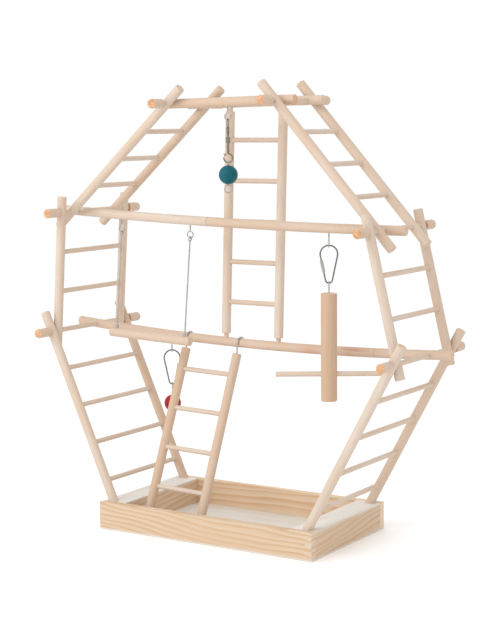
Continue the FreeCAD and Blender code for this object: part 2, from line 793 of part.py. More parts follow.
middle_top = {}
middle_bottom = {}
for hand in (LEFT, RIGHT):
    middle_x = size("middle_center") + hand * size("middle_spacing") / 2
    middle_top[hand] = top_back_bar.at(middle_x)
    middle_bottom[hand] = lower_bar.at(middle_x)
middle_up = ((middle_top[LEFT] + middle_top[RIGHT]) - (middle_bottom[LEFT] + middle_bottom[RIGHT])).normalize()
middle_start = {}
middle_end = {}
for hand in (LEFT, RIGHT):
    clear = size("bar_diameter") / 2 + size("middle_end_gap")
    middle_start[hand] = middle_bottom[hand] + middle_up * clear
    middle_end[hand] = middle_bottom[hand] + middle_up * (
        (middle_top[hand] - middle_bottom[hand]).dot(middle_up) - clear)
pin_in_bar = size("pin_in_bar")
pin_in_pole = size("pin_length") - size("middle_end_gap") - pin_in_bar


def middle_frame():
    """Frame of the middle ladder: +Z up along it, X to the right, origin between the pole bottoms."""
    middle = (middle_start[LEFT] + middle_start[RIGHT]) * 0.5
    return frame_of(middle, X_AXIS, middle_up)


def pin_places():
    """Lower end and direction of the four pins that hold the middle ladder."""
    places = []
    for hand in (LEFT, RIGHT):
        low = size("bar_diameter") / 2 - pin_in_bar
        places.append(Placement(middle_bottom[hand] + middle_up * low, turn_to(middle_up)))
        places.append(Placement(middle_end[hand] - middle_up * pin_in_pole, turn_to(middle_up)))
    return places


def pin_bore(name, place):
    """The hole for a pin, a little longer than the pin at both ends."""
    grown = place * Placement(Vector(0, 0, -size("fit_gap")), Rotation())
    return peg(name, "(sizes.pin_diameter + 2 * sizes.fit_gap)", "(sizes.pin_length + 2 * sizes.fit_gap)",
               grown)


def middle_ladder():
    """The narrow ladder between the lower bar and the back top bar."""
    frame = middle_frame()
    inverse = frame.inverse()
    base = inverse.multVec(middle_start[LEFT]).z
    for index, hand in enumerate((LEFT, RIGHT)):
        label = "middle_%s_pole" % SIDE_NAME[hand]
        length = (middle_end[hand] - middle_start[hand]).Length
        body = dowel(label + "_dowel", "sizes.pole_diameter", "%.6f" % length)
        local_start = inverse.multVec(middle_start[hand])
        side_turn = Rotation(Z_AXIS, -90 if hand == LEFT else 90)
        socket, sketch = cross_hole(body, label + "_socket", HOLE_FOR_RUNG,
                                    "sizes.middle_first_rung - %.6f" % (local_start.z - base), "One side")
        row_of(body, label + "_sockets", socket, sketch, "sizes.middle_rungs", "sizes.rung_pitch")
        body.Placement = frame * Placement(local_start, side_turn)
        pins = pin_places()[2 * index:2 * index + 2]
        bores = [pin_bore("%s_pin_bore_%d" % (label, number + 1), place)
                 for number, place in enumerate(pins)]
        finish(cut(label, body, bores), label)
    members = []
    for index in range(int(size("middle_rungs"))):
        height = base + size("middle_first_rung") + index * size("rung_pitch")
        members.append(centred_peg("middle_rung_%d" % (index + 1), "sizes.rung_diameter",
                                   "sizes.middle_spacing - 2 * sizes.fit_gap", Vector(0, 0, height), X_AXIS))
    group("middle_rungs", members, frame)
    group("middle_pins", [peg("middle_pin_%d" % (number + 1), "sizes.pin_diameter", "sizes.pin_length", place)
                          for number, place in enumerate(pin_places())])


# ---------------------------------------------------------------- screw eyes

toy_across = Vector(math.cos(math.radians(size("toy_turn"))), math.sin(math.radians(size("toy_turn"))), 0)
toy_toward = Z_AXIS.cross(toy_across)


def eye_centre(bar, x):
    """Middle of the ring of a screw eye under a bar."""
    return bar.at(x) - Z_AXIS * (size("bar_diameter") / 2 + size("eye_drop"))


EYES = {
    "swing_left": (upper_bar, size("swing_eye_left"), Y_AXIS),
    "swing_right": (upper_bar, size("swing_eye_right"), Y_AXIS),
    "stick_toy": (upper_bar, size("stick_toy_place"), toy_across),
    "red_toy": (lower_bar, size("red_toy_place"), toy_across),
    "teal_toy": (top_front_bar, size("teal_toy_place"), Y_AXIS),
}
eye_ring_radius = (size("eye_diameter") - size("eye_wire")) / 2


def screw_eye(name, centre, axis, shank_rule, upward=1):
    """A ring of wire with a straight shank above it, or below it if upward is -1."""
    loop = ring(name + "_ring", "sizes.eye_diameter", "sizes.eye_wire", centre, axis)
    shank = peg(name + "_shank", "sizes.eye_wire", shank_rule,
                Placement(centre + Z_AXIS * (upward * eye_ring_radius), turn_to(Z_AXIS * upward)))
    return fuse(name, [loop, shank])


def bar_screw_eyes():
    """The five eyes that the swing and the toys hang from."""
    shank = "sizes.eye_drop - (sizes.eye_diameter - sizes.eye_wire) / 2 + sizes.eye_thread - sizes.fit_gap"
    members = [screw_eye(name + "_eye", eye_centre(bar, x), axis, shank)
               for name, (bar, x, axis) in EYES.items()]
    group("bar_screw_eyes", members)


# ---------------------------------------------------------------- hanging ladder

hook_radius = (size("hook_inner_diameter") + size("hook_wire")) / 2
hook_seat = size("hook_inner_diameter") / 2 - size("bar_diameter") / 2 - size("ring_gap")
hang_left = lower_bar.at(size("hang_hook_left"))
hang_right = lower_bar.at(size("hang_hook_left") + size("hang_spacing"))
hang_across = (hang_right - hang_left).normalize()
level_up = Y_AXIS.cross(hang_across) * -1
lean = math.radians(size("hang_lean"))
hang_up = level_up * math.cos(lean) + Y_AXIS * math.sin(lean)
hang_back = hang_up.cross(hang_across)


def hook_centre(hand):
    """Middle of the bend of a hook over the lower bar."""
    point = hang_left if hand == LEFT else hang_left + hang_across * size("hang_spacing")
    return point - level_up * hook_seat


def pole_top(hand):
    """Middle of the top end of a pole of the hanging ladder."""
    return hook_centre(hand) - Y_AXIS * hook_radius - level_up * size("hang_drop")


def hang_frame():
    """Frame of the hanging ladder: origin between the pole feet, +Z up along it."""
    middle = (pole_top(LEFT) + pole_top(RIGHT)) * 0.5
    return frame_of(middle - hang_up * size("hang_length"), hang_across, hang_up)


def ladder_hook(name, hand, inverse):
    """A wire hook: a leg in the pole's top, a straight shank and a bend over the bar."""
    top = pole_top(hand)
    bend = size("hook_wire") * 2
    leg_start = top - hang_up * size("hook_depth")
    before = top - hang_up * bend * math.tan(lean / 2)
    after = top + level_up * bend * math.tan(lean / 2)
    sagitta = bend * (1 / math.cos(lean / 2) - 1)
    crown = top + (before + after - top * 2).normalize() * sagitta
    centre = hook_centre(hand)
    shank_end = centre - Y_AXIS * hook_radius
    opening = size("hook_opening")
    edges = [
        line_edge(leg_start, before),
        Part.Arc(before, crown, after).toShape(),
        line_edge(after, shank_end),
        arc_edge(centre, hook_radius, 180, 90 + opening / 2, opening, Y_AXIS, level_up),
    ]
    moved = []
    for edge in edges:
        copy = edge.copy()
        copy.Placement = inverse * copy.Placement
        moved.append(copy)
    return wire_form(name, moved, size("hook_wire"))


def hanging_ladder():
    """The loose ladder that hooks over the lower bar and leans on the tray's floor."""
    frame = hang_frame()
    inverse = frame.inverse()
    for hand in (LEFT, RIGHT):
        label = "hanging_%s_pole" % SIDE_NAME[hand]
        body = dowel(label + "_dowel", "sizes.pole_diameter", "sizes.hang_length")
        lowest = "(sizes.hang_length - sizes.hang_first_rung - (sizes.hang_rungs - 1) * sizes.hang_rung_pitch)"
        socket, sketch = cross_hole(body, label + "_socket", HOLE_FOR_RUNG, lowest, "One side")
        row_of(body, label + "_sockets", socket, sketch, "sizes.hang_rungs", "sizes.hang_rung_pitch")
        side_turn = Rotation(Z_AXIS, -90 if hand == LEFT else 90)
        body.Placement = frame * Placement(Vector(hand * size("hang_spacing") / 2, 0, 0), side_turn)
        bore = peg(label + "_hook_bore", "(sizes.hook_wire + 4 * sizes.fit_gap)", "2 * sizes.hook_depth",
                   Placement(pole_top(hand) - hang_up * (size("hook_depth") + size("fit_gap")),
                             turn_to(hang_up)))
        finish(cut(label, body, [bore]), label)
    lowest = size("hang_length") - size("hang_first_rung") - (size("hang_rungs") - 1) * size("hang_rung_pitch")
    members = []
    for index in range(int(size("hang_rungs"))):
        members.append(centred_peg("hanging_rung_%d" % (index + 1), "sizes.rung_diameter",
                                   "sizes.hang_spacing - 2 * sizes.fit_gap",
                                   Vector(0, 0, lowest + index * size("hang_rung_pitch")), X_AXIS))
    group("hanging_rungs", members, frame)
    group("hanging_hooks", [ladder_hook("hanging_hook_" + SIDE_NAME[hand], hand, inverse)
                            for hand in (LEFT, RIGHT)], frame)


# ---------------------------------------------------------------- swing

swing_hang = Vector(size("swing_sway"), 0, -size("swing_drop")).normalize()
swing_reach = math.hypot(size("swing_sway"), size("swing_drop"))
swing_eye = {LEFT: eye_centre(upper_bar, size("swing_eye_left")),
             RIGHT: eye_centre(upper_bar, size("swing_eye_right"))}
swing_pivot = {hand: swing_eye[hand] + swing_hang * eye_ring_radius for hand in (LEFT, RIGHT)}
swing_seat = {hand: swing_eye[hand] + swing_hang * swing_reach for hand in (LEFT, RIGHT)}
swing_axis = (swing_eye[RIGHT] - swing_eye[LEFT]).normalize()


def swing():
    """A perch on two straight wires, each looped through a screw eye."""
    wires = []
    loop_radius = (size("swing_loop_diameter") - size("swing_loop_wire")) / 2
    loop_inner = loop_radius - size("swing_loop_wire") / 2
    # The perch is not square to the wires, so the collar rests on it with one edge.
    collar_lift = size("swing_foot_diameter") / 2 * abs(swing_hang.dot(swing_axis))
    for hand in (LEFT, RIGHT):
        name = "swing_wire_" + SIDE_NAME[hand]
        centre = swing_pivot[hand] + swing_hang * (loop_inner - size("eye_wire") / 2 - size("ring_gap"))
        loop = ring(name + "_loop", "sizes.swing_loop_diameter", "sizes.swing_loop_wire", centre,
                    swing_hang.cross(Y_AXIS))
        wire_top = centre + swing_hang * loop_radius
        wire_end = swing_seat[hand] + swing_hang * (
            size("swing_perch_diameter") / 2 - size("swing_wire_cover"))
        shank = peg(name + "_shank", "sizes.swing_wire", "1", Placement(wire_top, turn_to(swing_hang)))
        shank.setExpression("Height", "%.6f" % (wire_end - wire_top).Length)
        collar_start = swing_seat[hand] - swing_hang * (
            size("swing_perch_diameter") / 2 + collar_lift + size("swing_foot_height"))
        collar = peg(name + "_collar", "sizes.swing_foot_diameter", "sizes.swing_foot_height",
                     Placement(collar_start, turn_to(swing_hang)))
        wires.append(fuse(name, [loop, shank, collar]))
    group("swing_wires", wires)

    span = (swing_seat[RIGHT] - swing_seat[LEFT]).Length
    perch = dowel("swing_perch_dowel", "sizes.swing_perch_diameter",
                  "%.6f + 2 * sizes.swing_overhang" % span)
    perch.Placement = Placement(swing_seat[LEFT] - swing_axis * size("swing_overhang"), turn_to(swing_axis))
    bores = []
    for hand in (LEFT, RIGHT):
        start = swing_seat[hand] - swing_hang * size("swing_perch_diameter")
        bores.append(peg("swing_bore_" + SIDE_NAME[hand], "(sizes.swing_wire + 2 * sizes.fit_gap)",
                         "(1.5 * sizes.swing_perch_diameter - sizes.swing_wire_cover + sizes.fit_gap)",
                         Placement(start, turn_to(swing_hang))))
    finish(cut("swing_perch", perch, bores), "swing_perch")


# ---------------------------------------------------------------- pear links

link_top_radius = (size("link_width") - size("link_wire")) / 2
link_foot_radius = (size("link_foot_width") - size("link_wire")) / 2
link_top_centre = size("eye_wire") / 2 + size("ring_gap") + size("link_wire") / 2 - link_top_radius
link_foot_centre = link_top_centre + link_top_radius - size("link_length") + size("link_wire") \
    + link_foot_radius
link_slope = math.asin((link_top_radius - link_foot_radius) / (link_top_centre - link_foot_centre))
link_outer_top = link_top_centre + link_top_radius + size("link_wire") / 2


def link_side(side, depth):
    """Point on the straight side of a link, at a depth below the link's outer top."""
    z = link_outer_top - depth
    x = link_top_radius / math.cos(link_slope) - (link_top_centre - z) * math.tan(link_slope)
    return Vector(side * x, 0, z)


def pear_link(label, pivot, side):
    """A pear shaped link of wire with a mouth in one side, and the threaded sleeve that shuts it."""
    frame = frame_of(pivot, toy_across, Z_AXIS)
    top = Vector(0, 0, link_top_centre)
    foot = Vector(0, 0, link_foot_centre)
    slope = math.degrees(link_slope)
    side_way = X_AXIS * side
    down = (link_side(side, size("sleeve_middle") + 1) - link_side(side, size("sleeve_middle"))).normalize()
    middle = link_side(side, size("sleeve_middle"))
    upper_lip = middle - down * (size("link_mouth") / 2)
    lower_lip = middle + down * (size("link_mouth") / 2)

    def on(centre, radius, angle, way):
        turn = math.radians(angle)
        return centre + way * (radius * math.cos(turn)) + Z_AXIS * (radius * math.sin(turn))

    top_near = on(top, link_top_radius, -slope, side_way)
    top_far = on(top, link_top_radius, -slope, side_way * -1)
    foot_near = on(foot, link_foot_radius, -slope, side_way)
    foot_far = on(foot, link_foot_radius, -slope, side_way * -1)
    edges = [
        line_edge(upper_lip, top_near),
        Part.Arc(top_near, on(top, link_top_radius, 90, side_way), top_far).toShape(),
        line_edge(top_far, foot_far),
        Part.Arc(foot_far, on(foot, link_foot_radius, -90, side_way), foot_near).toShape(),
        line_edge(foot_near, lower_lip),
    ]
    finish(wire_form(label, edges, size("link_wire")), label, frame)

    outer = peg(label + "_sleeve_outer", "sizes.sleeve_diameter", "sizes.sleeve_length")
    bore = peg(label + "_sleeve_bore", "(sizes.link_wire + 2 * sizes.fit_gap)", "sizes.sleeve_length")
    start = middle - down * (size("sleeve_length") / 2)
    sleeve = cut(label + "_sleeve", outer, [bore])
    finish(sleeve, label + "_sleeve", frame * Placement(start, turn_to(down)))
    return frame, frame.Rotation.multVec(down)


def pivot_under(name):
    """Middle of the wire at the bottom of a bar's screw eye."""
    bar, x, axis = EYES[name]
    return eye_centre(bar, x) - Z_AXIS * eye_ring_radius


link_foot_pivot = link_foot_centre - link_foot_radius
hung_eye_centre = link_foot_pivot + size("link_wire") / 2 + size("ring_gap") + size("eye_wire") / 2 \
    - eye_ring_radius


# ---------------------------------------------------------------- perch toy

def stick_toy():
    """A thick stick with a cross perch, hung on a pear link."""
    pivot = pivot_under("stick_toy")
    pear_link("stick_link", pivot, LEFT)
    eye = pivot + Z_AXIS * hung_eye_centre
    stick_top = eye - Z_AXIS * (size("eye_diameter") / 2 + size("stick_eye_shank"))
    shank = "sizes.eye_wire / 2 + sizes.stick_eye_shank + sizes.eye_thread - sizes.fit_gap"
    finish(screw_eye("stick_eye", eye, toy_across, shank, upward=-1), "stick_eye")

    blank = dowel("stick_dowel", "sizes.stick_diameter", "sizes.stick_length")
    blank.Placement = Placement(stick_top - Z_AXIS * size("stick_length"), Rotation())
    perch_point = stick_top - Z_AXIS * size("cross_perch_drop")
    cross_bore = centred_peg("stick_cross_bore", "(sizes.cross_perch_diameter + 2 * sizes.fit_gap)",
                             "2 * sizes.stick_diameter", perch_point, toy_across)
    eye_bore_hole = peg("stick_eye_bore", "(sizes.eye_wire + 2 * sizes.fit_gap)", "2 * sizes.eye_thread",
                        Placement(stick_top - Z_AXIS * size("eye_thread"), Rotation()))
    finish(cut("stick", blank, [cross_bore, eye_bore_hole]), "stick")

    perch = dowel("cross_perch", "sizes.cross_perch_diameter", "sizes.cross_perch_length")
    start = perch_point - toy_across * (size("cross_perch_length") / 2)
    finish(perch, "cross_perch", Placement(start, turn_to(toy_across)))


# ---------------------------------------------------------------- beads

def bead(label, diameter_alias, centre):
    """A turned wooden ball with a bore from top to bottom."""
    ball = document.addObject("Part::Sphere", label + "_ball")
    bind(ball, Radius="sizes.%s / 2" % diameter_alias)
    ball.Placement = Placement(centre, Rotation())
    bore = centred_peg(label + "_bore", "sizes.bead_bore", "2 * sizes.%s" % diameter_alias, centre, Z_AXIS)
    finish(cut(label, ball, [bore]), label)


def red_toy():
    """A red bead on a wire, hung on a pear link under the lower bar."""
    pivot = pivot_under("red_toy")
    pear_link("red_link", pivot, RIGHT)
    eye = pivot + Z_AXIS * hung_eye_centre
    ball = eye - Z_AXIS * size("red_bead_drop")
    bead("red_bead", "red_bead_diameter", ball)
    bottom = ball - Z_AXIS * (size("red_bead_diameter") / 2 + size("ring_gap"))
    loop_centre = bottom - Z_AXIS * (size("red_loop_diameter") / 2)
    upper_loop = ring("red_wire_upper", "sizes.eye_diameter", "sizes.eye_wire", eye, toy_across)
    lower_loop = ring("red_wire_lower", "sizes.red_loop_diameter", "sizes.eye_wire", loop_centre, toy_toward)
    low = loop_centre + Z_AXIS * (size("red_loop_diameter") - size("eye_wire")) / 2
    shank = peg("red_wire_shank", "sizes.eye_wire", "1", Placement(low, Rotation()))
    shank.setExpression("Height", "%.6f" % (eye.z - eye_ring_radius - low.z))
    finish(fuse("red_bead_wire", [upper_loop, lower_loop, shank]), "red_bead_wire")


# ---------------------------------------------------------------- swivel snap and its bead

swivel_pivot = pivot_under("teal_toy")
swivel_loop_top = size("eye_wire") / 2 + size("ring_gap") + size("swivel_wire")
swivel_post_start = swivel_loop_top - size("swivel_loop_height") + size("swivel_wire") / 2
barrel_top = swivel_post_start - size("swivel_post_length") - size("ring_gap")
snap_hook_radius = (size("snap_hook_diameter") - size("snap_hook_wire")) / 2
snap_hook_centre = barrel_top - size("barrel_height") - size("snap_shaft_length") \
    + size("snap_hook_wire") / 2 - snap_hook_radius


def swivel_eye():
    """Long loop in the screw eye, a tapered post and a headed neck that turns in the barrel."""
    half_width = (size("swivel_loop_width") - size("swivel_wire")) / 2
    high = swivel_loop_top - size("swivel_wire") / 2 - half_width
    low = swivel_post_start + half_width
    top_left = Vector(0, -half_width, high)
    top_right = Vector(0, half_width, high)
    low_left = Vector(0, -half_width, low)
    low_right = Vector(0, half_width, low)
    edges = [
        Part.Arc(top_left, Vector(0, 0, high + half_width), top_right).toShape(),
        line_edge(top_right, low_right),
        Part.Arc(low_right, Vector(0, 0, low - half_width), low_left).toShape(),
        line_edge(low_left, top_left),
    ]
    loop = wire_form("swivel_loop", edges, size("swivel_wire"))
    post = document.addObject("Part::Cone", "swivel_post")
    bind(post, Radius1="sizes.swivel_post_bottom / 2", Radius2="sizes.swivel_post_top / 2",
         Height="sizes.swivel_post_length")
    post_bottom = swivel_post_start - size("swivel_post_length")
    post.Placement = Placement(Vector(0, 0, post_bottom), Rotation())
    neck_length = size("barrel_wall") + 2 * size("ring_gap")
    neck = peg("swivel_neck", "sizes.swivel_neck_diameter", "sizes.barrel_wall + 2 * sizes.ring_gap",
               Placement(Vector(0, 0, post_bottom - neck_length), Rotation()))
    head = peg("swivel_head", "sizes.swivel_head_diameter", "sizes.swivel_head_height",
               Placement(Vector(0, 0, post_bottom - neck_length - size("swivel_head_height")), Rotation()))
    finish(fuse("swivel_eye", [loop, post, neck, head]), "swivel_eye", Placement(swivel_pivot, Rotation()))


def snap_body():
    """Barrel with a chamber for the swivel's head, a shaft and an open hook."""
    barrel = peg("snap_barrel", "sizes.barrel_diameter", "sizes.barrel_height",
                 Placement(Vector(0, 0, barrel_top - size("barrel_height")), Rotation()))
    chamber_height = size("swivel_head_height") + 2 * size("ring_gap")
    chamber = peg("snap_chamber", "(sizes.swivel_head_diameter + 2 * sizes.ring_gap)",
                  "sizes.swivel_head_height + 2 * sizes.ring_gap",
                  Placement(Vector(0, 0, barrel_top - size("barrel_wall") - chamber_height), Rotation()))
    mouth = peg("snap_throat", "(sizes.swivel_neck_diameter + 2 * sizes.ring_gap)",
                "sizes.barrel_wall + sizes.ring_gap",
                Placement(Vector(0, 0, barrel_top - size("barrel_wall") - size("ring_gap")), Rotation()))
    shaft_start = snap_hook_centre + snap_hook_radius
    shaft = peg("snap_shaft", "sizes.snap_shaft_diameter",
                "sizes.snap_shaft_length - sizes.snap_hook_wire / 2 + sizes.snap_shaft_overlap",
                Placement(Vector(0, 0, shaft_start), Rotation()))
    centre = Vector(0, 0, snap_hook_centre)
    start = size("snap_mouth_end") - 360
    hook = wire_form("snap_hook", [arc_edge(centre, snap_hook_radius, 90, (90 + start) / 2, start,
                                            X_AXIS, Z_AXIS)], size("snap_hook_wire"))
    hollow = cut("snap_hollow_barrel", barrel, [chamber, mouth])
    finish(fuse("snap_body", [hollow, shaft, hook]), "snap_body", frame_of(swivel_pivot, toy_across, Z_AXIS))


def snap_gate():
    """Sprung gate that shuts the hook's mouth, with a thumb stud."""
    centre = Vector(0, 0, snap_hook_centre)
    first = size("gate_start")
    last = size("snap_mouth_end") - size("gate_tip_gap")
    middle = (first + last) / 2
    gate = wire_form("gate_arc", [arc_edge(centre, snap_hook_radius, first, middle, last, X_AXIS, Z_AXIS)],
                     size("gate_wire"))
    turn = math.radians(middle)
    outward = Vector(math.cos(turn), 0, math.sin(turn))
    stud = peg("gate_stud", "sizes.gate_wire", "sizes.gate_stud_length",
               Placement(centre + outward * snap_hook_radius, turn_to(outward)))
    finish(fuse("snap_gate", [gate, stud]), "snap_gate", frame_of(swivel_pivot, toy_across, Z_AXIS))


def teal_toy():
    """A swivel snap under the front top bar, and the teal bead hooked in it."""
    swivel_eye()
    snap_body()
    snap_gate()
    hook_wire_centre = snap_hook_centre - snap_hook_radius
    loop_radius = (size("teal_hook_loop_diameter") - size("eye_wire")) / 2
    loop_z = hook_wire_centre + size("snap_hook_wire") / 2 + size("ring_gap") + size("eye_wire") / 2 \
        - loop_radius
    upper = swivel_pivot + Z_AXIS * loop_z
    ball = upper - Z_AXIS * size("teal_bead_drop")
    bead("teal_bead", "teal_bead_diameter", ball)
    bottom = ball - Z_AXIS * (size("teal_bead_diameter") / 2 + size("ring_gap"))
    loop_centre = bottom - Z_AXIS * (size("teal_loop_diameter") / 2)
    upper_loop = ring("teal_wire_upper", "sizes.teal_hook_loop_diameter", "sizes.eye_wire", upper, toy_across)
    lower_loop = ring("teal_wire_lower", "sizes.teal_loop_diameter", "sizes.eye_wire", loop_centre,
                      toy_toward)
    low = loop_centre + Z_AXIS * (size("teal_loop_diameter") - size("eye_wire")) / 2
    shank = peg("teal_wire_shank", "sizes.eye_wire", "1", Placement(low, Rotation()))
    shank.setExpression("Height", "%.6f" % (upper.z - loop_radius - low.z))
    finish(fuse("teal_bead_wire", [upper_loop, lower_loop, shank]), "teal_bead_wire")


# ---------------------------------------------------------------- the whole stand

def build():
    """Make every sub-part."""
    tray_base()
    long_board("tray_front_board", FRONT, fingers=True)
    long_board("tray_back_board", BACK, fingers=False)
    end_board("tray_left_board", LEFT, fingers=False)
    end_board("tray_right_board", RIGHT, fingers=True)
    for hand in (LEFT, RIGHT):
        inner_board("tray_%s_inner_board" % SIDE_NAME[hand], hand)
        ledge("tray_%s_ledge" % SIDE_NAME[hand], hand)
    foot_screws()
    hexagon()
    cross_rods()
    rod_knobs()
    lower_pins = [pin_bore("lower_bar_pin_%d" % number, place)
                  for number, place in enumerate(pin_places()[0::2])]
    upper_pins = [pin_bore("top_bar_pin_%d" % number, place)
                  for number, place in enumerate(pin_places()[1::2])]
    bored_bar("lower_bar", lower_bar, lower_pins + [eye_bore("red_bore", lower_bar, size("red_toy_place"))])
    bored_bar("upper_bar", upper_bar, [
        eye_bore("swing_left_bore", upper_bar, size("swing_eye_left")),
        eye_bore("swing_right_bore", upper_bar, size("swing_eye_right")),
        eye_bore("stick_bore", upper_bar, size("stick_toy_place"))])
    bored_bar("top_front_bar", top_front_bar, [eye_bore("teal_bore", top_front_bar, size("teal_toy_place"))])
    bored_bar("top_back_bar", top_back_bar, upper_pins)
    middle_ladder()
    bar_screw_eyes()
    hanging_ladder()
    swing()
    stick_toy()
    red_toy()
    teal_toy()


def check():
    """Stop if any object failed or any sub-part has no valid shape."""
    document.recompute()
    faults = []
    for item in document.Objects:
        if "Invalid" in item.State or "Error" in item.State:
            faults.append("%s: %s" % (item.Label, item.State))
    for item in subparts:
        if item.Shape.isNull() or not item.Shape.isValid() or item.Shape.Volume <= 0:
            faults.append("%s: no valid shape" % item.Label)
    if faults:
        raise RuntimeError("\n".join(faults))


def export():
    """Write one STEP file for each sub-part."""
    os.makedirs("parts", exist_ok=True)
    for item in subparts:
        item.Shape.exportStep("parts/%s.step" % item.Label)
        print("%-24s %2d solids %10.1f mm3" % (item.Label, len(item.Shape.Solids), item.Shape.Volume))


build()
check()
export()
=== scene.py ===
"""A wooden climbing and play stand for small parrots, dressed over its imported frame. Metres."""
import math
from collections import namedtuple

import bpy
import numpy
from mathutils import Matrix, Vector


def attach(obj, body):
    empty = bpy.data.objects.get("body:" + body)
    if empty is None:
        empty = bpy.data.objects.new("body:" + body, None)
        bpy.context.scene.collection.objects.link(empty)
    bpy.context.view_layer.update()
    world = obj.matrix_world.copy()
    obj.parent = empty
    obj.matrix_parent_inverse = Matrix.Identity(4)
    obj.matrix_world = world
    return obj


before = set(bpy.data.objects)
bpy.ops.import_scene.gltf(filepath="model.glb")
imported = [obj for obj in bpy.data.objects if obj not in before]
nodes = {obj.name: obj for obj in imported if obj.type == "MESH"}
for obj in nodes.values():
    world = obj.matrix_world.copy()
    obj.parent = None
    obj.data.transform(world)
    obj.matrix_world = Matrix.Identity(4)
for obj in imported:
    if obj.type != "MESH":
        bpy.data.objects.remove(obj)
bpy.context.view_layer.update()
scene = bpy.context.scene

X_AXIS = Vector((1, 0, 0))
Y_AXIS = Vector((0, 1, 0))
Z_AXIS = Vector((0, 0, 1))

# ---------------------------------------------------------------- camera, floor and light

CAMERA_PLACE = Vector((1.3767, -2.1511, 0.6615))
CAMERA_YAW = math.radians(32.22)
CAMERA_PITCH = math.radians(7.13)
CAMERA_ROLL = math.radians(-0.42)
CAMERA_REACH = 50
FOCAL_PIXELS = 1599.4
FRAME_HEIGHT = 642
SENSOR = 36.0

STAND_MIDDLE = Vector((0, 0, 0.35))
KEY_PLACE = Vector((-1.5, -2.0, 1.5))
KEY_SIZE = 1.0
KEY_WATTS = 12
TOP_PLACE = Vector((-0.1, -1.8, 2.1))
TOP_SIZE = 1.2
TOP_WATTS = 14
FLOOR_REACH = 6.0
FLOOR_ROUGHNESS = 0.9
WHITE = (1, 1, 1, 1)


def make_camera():
    """The photograph's view: from the front right, a little above the stand's middle."""
    camera = bpy.data.objects.new("camera", bpy.data.cameras.new("camera"))
    scene.collection.objects.link(camera)
    forward = Vector((-math.sin(CAMERA_YAW) * math.cos(CAMERA_PITCH),
                      math.cos(CAMERA_YAW) * math.cos(CAMERA_PITCH), -math.sin(CAMERA_PITCH)))
    level = Vector((math.cos(CAMERA_YAW), math.sin(CAMERA_YAW), 0))
    upward = level.cross(forward)
    right = level * math.cos(CAMERA_ROLL) + upward * math.sin(CAMERA_ROLL)
    up = upward * math.cos(CAMERA_ROLL) - level * math.sin(CAMERA_ROLL)
    turn = Matrix((right, up, -forward)).transposed().to_4x4()
    camera.matrix_world = Matrix.Translation(CAMERA_PLACE) @ turn
    camera.data.sensor_width = SENSOR
    camera.data.lens = FOCAL_PIXELS * SENSOR / FRAME_HEIGHT
    camera.data.clip_end = CAMERA_REACH
    scene.camera = camera


def area_light(name, place, size, watts):
    """A soft square light that looks at the middle of the stand."""
    data = bpy.data.lights.new(name, "AREA")
    data.size = size
    data.energy = watts
    light = bpy.data.objects.new(name, data)
    scene.collection.objects.link(light)
    light.location = place
    light.rotation_mode = "QUATERNION"
    light.rotation_quaternion = (STAND_MIDDLE - place).to_track_quat("-Z", "Y")


def make_studio():
    """A plain white floor in a white room with soft lights from the front left and above."""
    world = bpy.data.worlds.new("studio")
    world.use_nodes = True
    world.node_tree.nodes["Background"].inputs["Color"].default_value = WHITE
    scene.world = world
    scene.view_settings.view_transform = "Standard"
    area_light("key", KEY_PLACE, KEY_SIZE, KEY_WATTS)
    area_light("top", TOP_PLACE, TOP_SIZE, TOP_WATTS)

    mesh = bpy.data.meshes.new("floor")
    corners = [(-FLOOR_REACH, -FLOOR_REACH, 0), (FLOOR_REACH, -FLOOR_REACH, 0),
               (FLOOR_REACH, FLOOR_REACH, 0), (-FLOOR_REACH, FLOOR_REACH, 0)]
    mesh.from_pydata(corners, [], [(0, 1, 2, 3)])
    floor = bpy.data.objects.new("floor", mesh)
    scene.collection.objects.link(floor)
    material = bpy.data.materials.new("floor_white")
    material.use_nodes = True
    shader = material.node_tree.nodes["Principled BSDF"]
    shader.inputs["Base Color"].default_value = WHITE
    shader.inputs["Roughness"].default_value = FLOOR_ROUGHNESS
    mesh.materials.append(material)


make_camera()
make_studio()


# ---------------------------------------------------------------- node helpers

# About how bright the studio's light is on the stand's front; 1 would show a surface's own colour.
STUDIO_LIGHT = 1.25


def tone(red, green, blue):
    """The linear surface colour that shows a display colour, 0 to 255, in the studio's light."""
    linear = []
    for part in (red, green, blue):
        value = part / 255
        light = value / 12.92 if value <= 0.04045 else ((value + 0.055) / 1.055) ** 2.4
        linear.append(light / STUDIO_LIGHT)
    return (*linear, 1.0)


